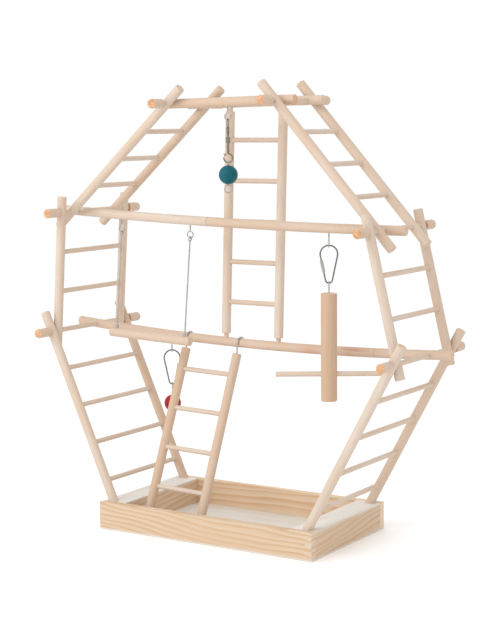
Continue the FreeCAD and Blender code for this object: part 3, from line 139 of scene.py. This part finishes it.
class Finish:
    """A node material and short calls that add nodes to it."""

    def __init__(self, name):
        self.material = bpy.data.materials.new(name)
        self.material.use_nodes = True
        self.tree = self.material.node_tree
        self.shader = self.tree.nodes["Principled BSDF"]
        coordinates = self.tree.nodes.new("ShaderNodeTexCoord")
        self.place = coordinates.outputs["Object"]
        self.facing = coordinates.outputs["Normal"]

    def add(self, kind, inputs, **settings):
        """A node with its settings, and its inputs given as values or as links."""
        node = self.tree.nodes.new(kind)
        for key, value in settings.items():
            setattr(node, key, value)
        for key, value in inputs.items():
            if isinstance(value, bpy.types.NodeSocket):
                self.tree.links.new(value, node.inputs[key])
            else:
                node.inputs[key].default_value = value
        return node

    def maths(self, operation, *values):
        """One number from one or two."""
        return self.add("ShaderNodeMath", dict(enumerate(values)), operation=operation).outputs[0]

    def vector(self, operation, *values):
        """One vector from two."""
        return self.add("ShaderNodeVectorMath", dict(enumerate(values)), operation=operation).outputs[0]

    def dot(self, first, second):
        """How far one vector goes along another."""
        return self.add("ShaderNodeVectorMath", {0: first, 1: second},
                        operation="DOT_PRODUCT").outputs["Value"]

    def scaled(self, vector, factor):
        """A vector times a number."""
        return self.add("ShaderNodeVectorMath", {0: vector, "Scale": factor},
                        operation="SCALE").outputs[0]

    def noise(self, place, scale, detail=3.0, roughness=0.55, distortion=0.0):
        """Soft noise from 0 to 1."""
        return self.add("ShaderNodeTexNoise", {"Vector": place, "Scale": scale, "Detail": detail,
                                               "Roughness": roughness, "Distortion": distortion}
                        ).outputs[0]

    def between(self, value, low, high):
        """A number's place between two limits, held to 0 and 1."""
        return self.add("ShaderNodeMapRange", {"Value": value, "From Min": low, "From Max": high},
                        clamp=True).outputs[0]

    def mixed(self, share, first, second):
        """Two colours mixed by a share."""
        node = self.add("ShaderNodeMix", {}, data_type="RGBA")
        for key, value in (("Factor_Float", share), ("A_Color", first), ("B_Color", second)):
            socket = [one for one in node.inputs if one.identifier == key][0]
            if isinstance(value, bpy.types.NodeSocket):
                self.tree.links.new(value, socket)
            else:
                socket.default_value = value
        return [one for one in node.outputs if one.identifier == "Result_Color"][0]

    def tinted(self, color, pattern, band, share, tint):
        """A colour with a tint where a pattern lies high in its band."""
        return self.mixed(self.maths("MULTIPLY", self.between(pattern, *band), share), color, tint)

    def stretched(self, axis, along_factor, shift):
        """The place with its length along an axis squeezed, so that noise runs as grain."""
        axis = Vector(axis).normalized()
        length = self.scaled(tuple(axis), self.dot(self.place, tuple(axis)))
        across = self.vector("SUBTRACT", self.place, length)
        squeezed = self.vector("ADD", across, self.scaled(length, along_factor))
        return self.vector("ADD", squeezed, tuple(shift))

    def finished(self, color, roughness, height, bump_distance):
        """Connect the shader's colour, roughness and bump."""
        self.tree.links.new(color, self.shader.inputs["Base Color"])
        self.tree.links.new(roughness, self.shader.inputs["Roughness"])
        bump = self.add("ShaderNodeBump", {"Height": height, "Distance": bump_distance, "Strength": 1.0})
        self.tree.links.new(bump.outputs[0], self.shader.inputs["Normal"])
        return self.material


def dress(name, material):
    """Give a CAD node a material in all its slots."""
    node = nodes[name]
    if not node.material_slots:
        node.data.materials.append(material)
    for slot in node.material_slots:
        slot.material = material


def long_axis(name):
    """The direction in which a node's points reach furthest."""
    mesh = nodes[name].data
    points = numpy.empty(len(mesh.vertices) * 3)
    mesh.vertices.foreach_get("co", points)
    points = points.reshape(-1, 3)
    spread = numpy.cov((points - points.mean(axis=0)).T)
    return Vector(numpy.linalg.eigh(spread)[1][:, 2])


# ---------------------------------------------------------------- round wood

PALE = tone(232, 217, 202)
STRAW = tone(228, 206, 184)
PINK = tone(225, 197, 178)
HONEY = tone(208, 172, 142)
TAN = tone(214, 178, 146)
END_TAN = tone(234, 178, 128)
END_DARK = tone(204, 140, 90)
TIP_TAN = tone(232, 204, 178)
TIP_DARK = tone(216, 178, 146)
SEAM = tone(150, 112, 84)
STAIN = tone(214, 150, 118)

# Noise scales are in cells a metre. A squeeze is the share of the wood's length that a pattern counts,
# so a small one draws it out along the grain. A band is the low and high limit between which a pattern
# counts from none to all. A roughness is the smoothest value and how much a pattern adds to it.
DOWEL_SHIFT = Vector((3.1, 1.7, 2.3))
DOWEL_FIBRE_SCALE = 900
DOWEL_FIBRE_SQUEEZE = 0.035
DOWEL_STREAK_SCALE = 210
DOWEL_STREAK_SQUEEZE = 0.03
DOWEL_DRIFT_SCALE = 38
DOWEL_DRIFT_SQUEEZE = 0.25
DOWEL_DRIFT_BAND = (0.35, 0.68)
DOWEL_STREAK_BAND = (0.45, 0.8)
DOWEL_STREAK_SHARE = 0.75
DOWEL_FIBRE_BAND = (0.5, 0.78)
DOWEL_FIBRE_SHARE = 0.55
DOWEL_ROUGHNESS = (0.56, 0.22)
DOWEL_SPECULAR = 0.32
DOWEL_BUMP = 0.00018
FIBRE_HEIGHT = 0.6
STREAK_HEIGHT = 0.4
SEAM_HALF_WIDTH = 0.00035
SEAM_SHARE = 0.75
STAIN_CORE = 0.2
STAIN_BAND = (0.3, 0.7)
STAIN_SHARE = 0.8
END_FACING = (0.55, 0.8)
PORE_SCALE = 1500
PORE_BAND = (0.4, 0.7)
PORE_SHARE = 0.35
RING_SCALE = 170
RING_DISTORTION = 1.5
RING_BAND = (0.42, 0.68)


def round_wood(name, axis, number, tan, ends, joints, stains):
    """Sanded pale dowel: fine fibres along it, slow changes of tone, and darker end grain.

    tan is how far the wood's tone lies from pale to tan, mostly its own, though a few poles are set paler
    as painted light against their shade; ends are the two tones of its end grain.
    joints are (place, share of darker colour beyond it) along X where two lengths of dowel meet; on the
    upper bar that darker colour is painted shade over the bar's right part.
    stains are (place, reach) along X of redder wood.
    """
    made = Finish(name)
    axis = Vector(axis).normalized()
    shift = DOWEL_SHIFT * number
    fibres = made.noise(made.stretched(axis, DOWEL_FIBRE_SQUEEZE, shift), DOWEL_FIBRE_SCALE,
                        detail=4, roughness=0.65)
    streaks = made.noise(made.stretched(axis, DOWEL_STREAK_SQUEEZE, shift * 2), DOWEL_STREAK_SCALE,
                         detail=3, roughness=0.6)
    drift = made.noise(made.stretched(axis, DOWEL_DRIFT_SQUEEZE, shift * 3), DOWEL_DRIFT_SCALE, detail=2)
    color = made.mixed(made.between(drift, *DOWEL_DRIFT_BAND), PALE, STRAW)
    color = made.mixed(tan, color, TAN)
    color = made.tinted(color, streaks, DOWEL_STREAK_BAND, DOWEL_STREAK_SHARE, PINK)
    color = made.tinted(color, fibres, DOWEL_FIBRE_BAND, DOWEL_FIBRE_SHARE, HONEY)

    x_place = made.add("ShaderNodeSeparateXYZ", {0: made.place}).outputs[0]
    for place, share in joints:
        beyond = made.maths("GREATER_THAN", x_place, place)
        # A darker colour beyond a joint: painted shade where its share is above nothing, as on the upper
        # bar.
        color = made.mixed(made.maths("MULTIPLY", beyond, share), color, HONEY)
        gap = made.maths("ABSOLUTE", made.maths("SUBTRACT", x_place, place))
        near = made.maths("LESS_THAN", gap, SEAM_HALF_WIDTH)
        color = made.mixed(made.maths("MULTIPLY", near, SEAM_SHARE), color, SEAM)
    for place, reach in stains:
        gap = made.maths("ABSOLUTE", made.maths("SUBTRACT", x_place, place))
        near = made.maths("SUBTRACT", 1.0, made.between(gap, reach * STAIN_CORE, reach))
        share = made.maths("MULTIPLY", near, made.between(streaks, *STAIN_BAND))
        color = made.mixed(made.maths("MULTIPLY", share, STAIN_SHARE), color, STAIN)

    facing = made.maths("ABSOLUTE", made.dot(made.facing, tuple(axis)))
    on_end = made.between(facing, *END_FACING)
    pores = made.noise(made.place, PORE_SCALE, detail=3)
    rings = made.noise(made.place, RING_SCALE, detail=1, distortion=RING_DISTORTION)
    end_color = made.mixed(made.between(rings, *RING_BAND), *ends)
    end_color = made.tinted(end_color, pores, PORE_BAND, PORE_SHARE, PALE)
    color = made.mixed(on_end, color, end_color)

    smoothest, rougher = DOWEL_ROUGHNESS
    roughness = made.maths("ADD", smoothest, made.maths("MULTIPLY", fibres, rougher))
    height = made.maths("ADD", made.maths("MULTIPLY", fibres, FIBRE_HEIGHT),
                        made.maths("MULTIPLY", streaks, STREAK_HEIGHT))
    made.shader.inputs["Specular IOR Level"].default_value = DOWEL_SPECULAR
    return made.finished(color, roughness, height, DOWEL_BUMP)


LADDERS = ["%s_%s" % (level, side) for level in ("lower", "side", "top") for side in ("left", "right")]
OTHER_DOWELS = [
    "lower_bar", "upper_bar", "top_front_bar", "top_back_bar", "middle_left_pole", "middle_right_pole",
    "middle_rungs", "middle_pins", "cross_rods", "rod_knobs", "hanging_left_pole", "hanging_right_pole",
    "hanging_rungs", "swing_perch", "stick", "cross_perch",
]
PLAIN_TAN = 0.1
# Each piece's own tan tone, except that lower_right_front_pole, middle_right_pole and
# lower_right_back_pole are set paler to offset the shade on them: painted light.
TAN_AND_PAINTED_LIGHT = {
    "stick": 0.95, "hanging_left_pole": 0.7, "hanging_right_pole": 0.55, "top_front_bar": 0.6,
    "top_back_bar": 0.35, "lower_bar": 0.45, "swing_perch": 0.35, "middle_rungs": 0.3,
    "top_left_back_pole": 0.5, "lower_left_back_pole": 0.6, "lower_right_back_pole": 0.3,
    "side_right_back_pole": 0.3, "lower_right_front_pole": 0.0, "middle_right_pole": 0.0,
    "top_right_front_pole": 0.2, "top_right_back_pole": 0.3, "rod_knobs": 0.35, "cross_perch": 0.15,
}
ENDS = {"rod_knobs": (END_TAN, END_DARK), "top_front_bar": (END_TAN, TIP_DARK)}
# The upper bar's darker colour beyond its joint is painted shade on its right part; the lower bar's joint
# draws only a seam line.
JOINTS_AND_PAINTED_SHADE = {"upper_bar": ((-0.0364, 0.35),), "lower_bar": ((0.234, 0.0),)}
STAINS = {"lower_bar": ((0.120, 0.03), (0.196, 0.035))}

# The direction of the wood in the nodes that hold several dowels. A single dowel's is its own.
WOOD_DIRECTION = {
    "middle_rungs": X_AXIS, "middle_pins": Z_AXIS, "cross_rods": Y_AXIS, "rod_knobs": Y_AXIS,
    "hanging_rungs": Vector((0.9995, 0, -0.031)),
}
for ladder in LADDERS:
    WOOD_DIRECTION[ladder + "_rungs"] = Y_AXIS


def dress_dowels():
    """Give every dowel node wood of its own, numbered so that no two have the same grain."""
    names = [ladder + part for ladder in LADDERS for part in ("_front_pole", "_back_pole", "_rungs")]
    names += OTHER_DOWELS
    for number, name in enumerate(names, start=1):
        direction = WOOD_DIRECTION.get(name) or long_axis(name)
        material = round_wood(name + "_wood", direction, number, TAN_AND_PAINTED_LIGHT.get(name, PLAIN_TAN),
                              ends=ENDS.get(name, (TIP_TAN, TIP_DARK)),
                              joints=JOINTS_AND_PAINTED_SHADE.get(name, ()), stains=STAINS.get(name, ()))
        dress(name, material)


dress_dowels()


# ---------------------------------------------------------------- tray boards

EARLY = tone(233, 214, 190)
MIDDLE = tone(229, 200, 168)
LATE = tone(216, 176, 136)
BOARD_END = tone(238, 222, 200)

PINE_SHIFT = Vector((1.9, 4.3, 2.9))
PINE_SLOW_SCALE = 24
PINE_SLOW_SQUEEZE = 0.22
PINE_QUICK_SCALE = 120
PINE_QUICK_SQUEEZE = 0.1
PINE_QUICK_WAVE = 0.0016
PINE_UNEVEN_SCALE = 75
PINE_UNEVEN_SQUEEZE = 0.04
PINE_UNEVEN_WAVE = 0.009
PINE_FADE_BAND = (0.3, 0.75)
PINE_LINE_SHARE = 0.6
PINE_FIBRE_SCALE = 700
PINE_FIBRE_SQUEEZE = 0.03
PINE_FIBRE_BAND = (0.5, 0.8)
PINE_FIBRE_SHARE = 0.35
PINE_PATCH_SCALE = 16
PINE_PATCH_SQUEEZE = 0.5
PINE_PATCH_BAND = (0.45, 0.7)
PINE_PATCH_SHARE = 0.35
BOARD_END_FACING = (0.7, 0.8)
BOARD_END_SHARE = 0.45
PINE_ROUGHNESS = (0.5, 0.25)
PINE_FIBRE_HEIGHT = 0.5
PINE_RING_HEIGHT = 0.3
PINE_SPECULAR = 0.35
PINE_BUMP = 0.0002

# heart is a point of the log's middle line, tilt how much that line leans from the board, pitch the
# distance between rings, wave how far they wander, and light how much the board's tones are lifted or
# lowered: partly its own tone, partly painted light on the back and inner boards against the shade inside
# the tray and painted shade on the right board.
Board = namedtuple("Board", "along heart tilt pitch wave light")
BOARDS = {
    "tray_front_board": Board(X_AXIS, (-0.05, -0.09, -0.06), (0, 0.02, -0.06), 0.0072, 0.026, 1.0),
    "tray_back_board": Board(X_AXIS, (0.1, 0.16, -0.03), (0, 0.03, 0.05), 0.0085, 0.012, 1.16),
    "tray_left_board": Board(Y_AXIS, (-0.26, 0.0, 0.0), (0.05, 0, 0.05), 0.006, 0.014, 1.0),
    "tray_right_board": Board(Y_AXIS, (0.25, 0.02, -0.045), (0.03, 0, 0.10), 0.0075, 0.018, 0.96),
    "tray_left_inner_board": Board(Y_AXIS, (-0.12, 0.0, -0.06), (0.04, 0, 0.12), 0.008, 0.016, 1.06),
    "tray_right_inner_board": Board(Y_AXIS, (0.10, 0.0, -0.05), (0.04, 0, 0.06), 0.007, 0.014, 1.06),
}


def ring_radius(made, board, along, slow, shift):
    """How far a place lies from the log's middle line, made uneven as growth rings are."""
    middle_line = (along + Vector(board.tilt)).normalized()
    from_heart = made.vector("SUBTRACT", made.place, board.heart)
    quick = made.noise(made.stretched(along, PINE_QUICK_SQUEEZE, shift * 2), PINE_QUICK_SCALE, detail=2)
    length = made.scaled(tuple(middle_line), made.dot(from_heart, tuple(middle_line)))
    radius = made.add("ShaderNodeVectorMath", {0: made.vector("SUBTRACT", from_heart, length)},
                      operation="LENGTH").outputs["Value"]
    uneven = made.noise(made.stretched(along, PINE_UNEVEN_SQUEEZE, shift * 4), PINE_UNEVEN_SCALE, detail=1)
    for pattern, wave in ((slow, board.wave), (quick, PINE_QUICK_WAVE), (uneven, PINE_UNEVEN_WAVE)):
        radius = made.maths("ADD", radius, made.maths("MULTIPLY", pattern, wave))
    return radius


def ring_colors(made, turn, early, middle, late):
    """The tones of one growth ring: pale early wood that darkens to late wood."""
    ramp = made.add("ShaderNodeValToRGB", {0: turn})
    stops = ((0.0, early), (0.45, middle), (0.8, late), (0.93, middle), (1.0, early))
    elements = ramp.color_ramp.elements
    while len(elements) < len(stops):
        elements.new(0.5)
    for element, (position, color) in zip(elements, stops):
        element.position = position
        element.color = color
    return ramp.outputs[0]


def pine(name, board, number):
    """Knot-free pine: rings of a log whose heart lies off the board, seen as lines along its faces."""
    made = Finish(name)
    along = Vector(board.along).normalized()
    shift = PINE_SHIFT * number
    slow = made.noise(made.stretched(along, PINE_SLOW_SQUEEZE, shift), PINE_SLOW_SCALE,
                      detail=2, roughness=0.4)
    radius = ring_radius(made, board, along, slow, shift)
    turn = made.maths("FRACT", made.maths("DIVIDE", radius, board.pitch))
    # board.light scales the ring tones: painted light on the back and inner boards against the shade
    # inside the tray, painted shade on the right board, and some of each board's own tone.
    early, middle, late = [tuple(min(part * board.light, 1) for part in color)
                           for color in (EARLY, MIDDLE, LATE)]
    lines = ring_colors(made, turn, early, middle, late)
    faded = made.mixed(made.between(slow, *PINE_FADE_BAND), lines, middle)
    color = made.mixed(PINE_LINE_SHARE, faded, lines)
    fibres = made.noise(made.stretched(along, PINE_FIBRE_SQUEEZE, shift), PINE_FIBRE_SCALE,
                        detail=4, roughness=0.6)
    color = made.tinted(color, fibres, PINE_FIBRE_BAND, PINE_FIBRE_SHARE, late)
    patch = made.noise(made.stretched(along, PINE_PATCH_SQUEEZE, shift * 3), PINE_PATCH_SCALE, detail=1)
    color = made.tinted(color, patch, PINE_PATCH_BAND, PINE_PATCH_SHARE, middle)
    facing = made.maths("ABSOLUTE", made.dot(made.facing, tuple(along)))
    color = made.tinted(color, facing, BOARD_END_FACING, BOARD_END_SHARE, BOARD_END)
    smoothest, rougher = PINE_ROUGHNESS
    roughness = made.maths("ADD", smoothest, made.maths("MULTIPLY", fibres, rougher))
    height = made.maths("SUBTRACT", made.maths("MULTIPLY", fibres, PINE_FIBRE_HEIGHT),
                        made.maths("MULTIPLY", turn, PINE_RING_HEIGHT))
    made.shader.inputs["Specular IOR Level"].default_value = PINE_SPECULAR
    return made.finished(color, roughness, height, PINE_BUMP)


for board_number, (node_name, board) in enumerate(BOARDS.items(), start=1):
    dress(node_name, pine(node_name + "_pine", board, board_number))


PLY_PALE = tone(247, 243, 236)
PLY_SHADE = tone(238, 231, 221)
PLY_FIBRE = tone(226, 214, 200)
PLY_DARK_LAYER = tone(200, 160, 118)
PLY_SHIFT = Vector((2.7, 3.9, 1.1))
PLY_FIGURE_SCALE = 34
PLY_FIGURE_SQUEEZE = 0.12
PLY_FIGURE_BAND = (0.38, 0.66)
PLY_FIBRE_SCALE = 620
PLY_FIBRE_SQUEEZE = 0.04
PLY_FIBRE_BAND = (0.5, 0.8)
PLY_FIBRE_SHARE = 0.4
PLY_LAYER = 0.001
PLY_LAYER_BAND = (0.0004, 0.0006)
PLY_LAYER_SHARE = 0.55
PLY_EDGE_FACING = 0.5
PLY_ROUGHNESS = (0.6, 0.2)
PLY_SPECULAR = 0.3
PLY_BUMP = 0.00012


def plywood(name, along, number):
    """Pale thin plywood: faint broad figure and short fibres, with dark glue layers at its edges."""
    made = Finish(name)
    shift = PLY_SHIFT * number
    figure = made.noise(made.stretched(along, PLY_FIGURE_SQUEEZE, shift), PLY_FIGURE_SCALE,
                        detail=3, distortion=0.8)
    fibres = made.noise(made.stretched(along, PLY_FIBRE_SQUEEZE, shift * 2), PLY_FIBRE_SCALE,
                        detail=4, roughness=0.65)
    color = made.mixed(made.between(figure, *PLY_FIGURE_BAND), PLY_PALE, PLY_SHADE)
    color = made.tinted(color, fibres, PLY_FIBRE_BAND, PLY_FIBRE_SHARE, PLY_FIBRE)
    height_place = made.add("ShaderNodeSeparateXYZ", {0: made.place}).outputs[2]
    layer = made.maths("PINGPONG", height_place, PLY_LAYER)
    facing_up = made.add("ShaderNodeSeparateXYZ", {0: made.facing}).outputs[2]
    at_edge = made.maths("LESS_THAN", made.maths("ABSOLUTE", facing_up), PLY_EDGE_FACING)
    dark_layer = made.maths("MULTIPLY", at_edge, made.between(layer, *PLY_LAYER_BAND))
    color = made.mixed(made.maths("MULTIPLY", dark_layer, PLY_LAYER_SHARE), color, PLY_DARK_LAYER)
    smoothest, rougher = PLY_ROUGHNESS
    roughness = made.maths("ADD", smoothest, made.maths("MULTIPLY", fibres, rougher))
    made.shader.inputs["Specular IOR Level"].default_value = PLY_SPECULAR
    return made.finished(color, roughness, fibres, PLY_BUMP)


dress("tray_base", plywood("tray_base_ply", X_AXIS, 1))
dress("tray_left_ledge", plywood("tray_left_ledge_ply", Y_AXIS, 2))
dress("tray_right_ledge", plywood("tray_right_ledge_ply", Y_AXIS, 3))


# ---------------------------------------------------------------- metal and paint

PLATED = (tone(222, 220, 216), tone(158, 155, 150))
# The links' tones are darker than the plated wire's, standing in for the dark room the real links mirror:
# painted reflection.
LINK = (tone(158, 156, 150), tone(92, 92, 88))
BRASSY = (tone(178, 172, 154), tone(112, 104, 88))
STEEL_SHIFT = Vector((1.3, 2.1, 3.7))
STEEL_CLOUD_SCALE = 260
STEEL_SPECK_SCALE = 2600
STEEL_SPECK_BAND = (0.6, 0.75)
STEEL_SPECK_SHARE = 0.3
STEEL_ROUGHNESS = 0.2
THREAD_ROUGHNESS = 0.25
STEEL_ROUGHER = 0.15
STEEL_BUMP = 0.00003


def steel(name, number, tones, smoothest):
    """Bright plated steel wire with slightly uneven shine and small dull specks."""
    made = Finish(name)
    light, dark = tones
    place = made.vector("ADD", made.place, tuple(STEEL_SHIFT * number))
    cloud = made.noise(place, STEEL_CLOUD_SCALE, detail=3)
    specks = made.noise(place, STEEL_SPECK_SCALE, detail=2)
    color = made.mixed(cloud, light, dark)
    color = made.tinted(color, specks, STEEL_SPECK_BAND, STEEL_SPECK_SHARE, dark)
    roughness = made.maths("ADD", smoothest, made.maths("MULTIPLY", cloud, STEEL_ROUGHER))
    made.shader.inputs["Metallic"].default_value = 1.0
    return made.finished(color, roughness, specks, STEEL_BUMP)


STEEL_NODES = {
    "foot_screws": PLATED, "bar_screw_eyes": PLATED, "hanging_hooks": PLATED, "swing_wires": PLATED,
    "stick_link": LINK, "stick_link_sleeve": PLATED, "stick_eye": PLATED, "red_link": LINK,
    "red_link_sleeve": PLATED, "red_bead_wire": PLATED, "swivel_eye": BRASSY, "snap_body": BRASSY,
    "snap_gate": BRASSY, "teal_bead_wire": PLATED,
}
for steel_number, (node_name, tones) in enumerate(STEEL_NODES.items(), start=1):
    dress(node_name, steel(node_name + "_steel", steel_number, tones, STEEL_ROUGHNESS))


# Where the eyes under the bars stand along X, and the sizes of one eye.
EYE_PLACES = (-0.2069, -0.0707, 0.184, -0.151, 0.0085)
EYE_REACH = 0.012
EYE_OUTER_RADIUS = 0.0065
EYE_DROP = 0.0155
EYE_TOP_BAND = 0.0001
THREAD_SHARE = 0.5
THREAD_STEEL_NUMBER = 20
THREAD_RADIUS = 0.00095
THREAD_DEPTH = 0.00035
THREAD_PITCH = 0.0011
THREAD_HALF_WIDTH = THREAD_PITCH * 0.4
THREAD_TURN_STEPS = 20


def thread(name, foot, length):
    """A rolled screw thread: one sharp ridge wound up a shank, running out at both ends."""
    steps = round(length / THREAD_PITCH * THREAD_TURN_STEPS)
    root = THREAD_RADIUS - THREAD_DEPTH / 2
    points = []
    faces = []
    for step in range(steps + 1):
        turn = 2 * math.pi * step / THREAD_TURN_STEPS
        outward = Vector((math.cos(turn), math.sin(turn), 0))
        height = foot + Z_AXIS * (length * step / steps)
        fade = min(1, step / THREAD_TURN_STEPS, (steps - step) / THREAD_TURN_STEPS)
        points.append(height - Z_AXIS * THREAD_HALF_WIDTH + outward * root)
        points.append(height + outward * (THREAD_RADIUS + THREAD_DEPTH * fade))
        points.append(height + Z_AXIS * THREAD_HALF_WIDTH + outward * root)
        if step:
            base = 3 * step
            for corner in range(3):
                following = (corner + 1) % 3
                faces.append((base - 3 + corner, base + corner, base + following, base - 3 + following))
    last = 3 * steps
    faces.append((0, 1, 2))
    faces.append((last + 2, last + 1, last))
    mesh = bpy.data.meshes.new(name)
    mesh.from_pydata([tuple(point) for point in points], [], faces)
    mesh.validate()
    piece = bpy.data.objects.new(name, mesh)
    scene.collection.objects.link(piece)
    return piece


def add_threads():
    """A thread on the part of each screw eye's shank that shows under its bar."""
    material = steel("thread_steel", THREAD_STEEL_NUMBER, PLATED, THREAD_ROUGHNESS)
    vertices = nodes["bar_screw_eyes"].data.vertices
    length = EYE_DROP * THREAD_SHARE
    for number, place in enumerate(EYE_PLACES, start=1):
        points = [vertex.co for vertex in vertices if abs(vertex.co.x - place) < EYE_REACH]
        lowest = min(point.z for point in points)
        highest = max(point.z for point in points)
        top_ring = [point for point in points if point.z > highest - EYE_TOP_BAND]
        middle = sum(top_ring, Vector()) / len(top_ring)
        foot = Vector((middle.x, middle.y, lowest + EYE_OUTER_RADIUS + length))
        piece = thread("eye_thread_%d" % number, foot, length)
        piece.data.materials.append(material)
        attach(piece, "stand")


add_threads()

BEAD_SHIFT = Vector((2.2, 1.4, 3.3))
BEAD_GRAIN_SCALE = 520
BEAD_GRAIN_SQUEEZE = 0.12
BEAD_GRAIN_BAND = (0.55, 0.8)
BEAD_GRAIN_SHARE = 0.6
BEAD_CLOUD_SCALE = 110
BEAD_CLOUD_SQUEEZE = 0.6
BEAD_CLOUD_BAND = (0.15, 0.95)
BORE_FACING = (0.93, 0.99)
BORE_SHARE = 0.35
BEAD_ROUGHNESS = (0.32, 0.2)
BEAD_SPECULAR = 0.18
BEAD_COAT = 0.04
BEAD_COAT_ROUGHNESS = 0.25
BEAD_BUMP = 0.00012
TEAL = (tone(0, 112, 124), tone(0, 78, 90), tone(0, 128, 150))
RED = (tone(186, 22, 42), tone(140, 14, 32), tone(196, 50, 62))


def painted_bead(name, dyes, number):
    """Dyed and polished wooden bead: the dye lies deeper in the grain and thinner round the bore."""
    made = Finish(name)
    base, deep, pale = dyes
    shift = BEAD_SHIFT * number
    grain = made.noise(made.stretched(Z_AXIS, BEAD_GRAIN_SQUEEZE, shift), BEAD_GRAIN_SCALE,
                       detail=4, roughness=0.6)
    cloud = made.noise(made.stretched(Z_AXIS, BEAD_CLOUD_SQUEEZE, shift), BEAD_CLOUD_SCALE, detail=2)
    color = made.mixed(made.between(cloud, *BEAD_CLOUD_BAND), base, deep)
    color = made.tinted(color, grain, BEAD_GRAIN_BAND, BEAD_GRAIN_SHARE, deep)
    facing = made.maths("ABSOLUTE", made.dot(made.facing, tuple(Z_AXIS)))
    color = made.tinted(color, facing, BORE_FACING, BORE_SHARE, pale)
    smoothest, rougher = BEAD_ROUGHNESS
    roughness = made.maths("ADD", smoothest, made.maths("MULTIPLY", grain, rougher))
    made.shader.inputs["Specular IOR Level"].default_value = BEAD_SPECULAR
    made.shader.inputs["Coat Weight"].default_value = BEAD_COAT
    made.shader.inputs["Coat Roughness"].default_value = BEAD_COAT_ROUGHNESS
    return made.finished(color, roughness, grain, BEAD_BUMP)


dress("teal_bead", painted_bead("teal_dye", TEAL, 1))
dress("red_bead", painted_bead("red_dye", RED, 2))


# ---------------------------------------------------------------- worn edges and the end

BOARD_EDGE = 0.0006
PLY_EDGE = 0.0003
EDGE_SEGMENTS = 2
EDGE_ANGLE = math.radians(50)


def wear_edges(names, width):
    """Break the sharp edges of sawn pieces."""
    for name in names:
        rounding = nodes[name].modifiers.new("worn_edges", "BEVEL")
        rounding.width = width
        rounding.segments = EDGE_SEGMENTS
        rounding.limit_method = "ANGLE"
        rounding.angle_limit = EDGE_ANGLE


wear_edges(BOARDS, BOARD_EDGE)
wear_edges(("tray_left_ledge", "tray_right_ledge", "tray_base"), PLY_EDGE)
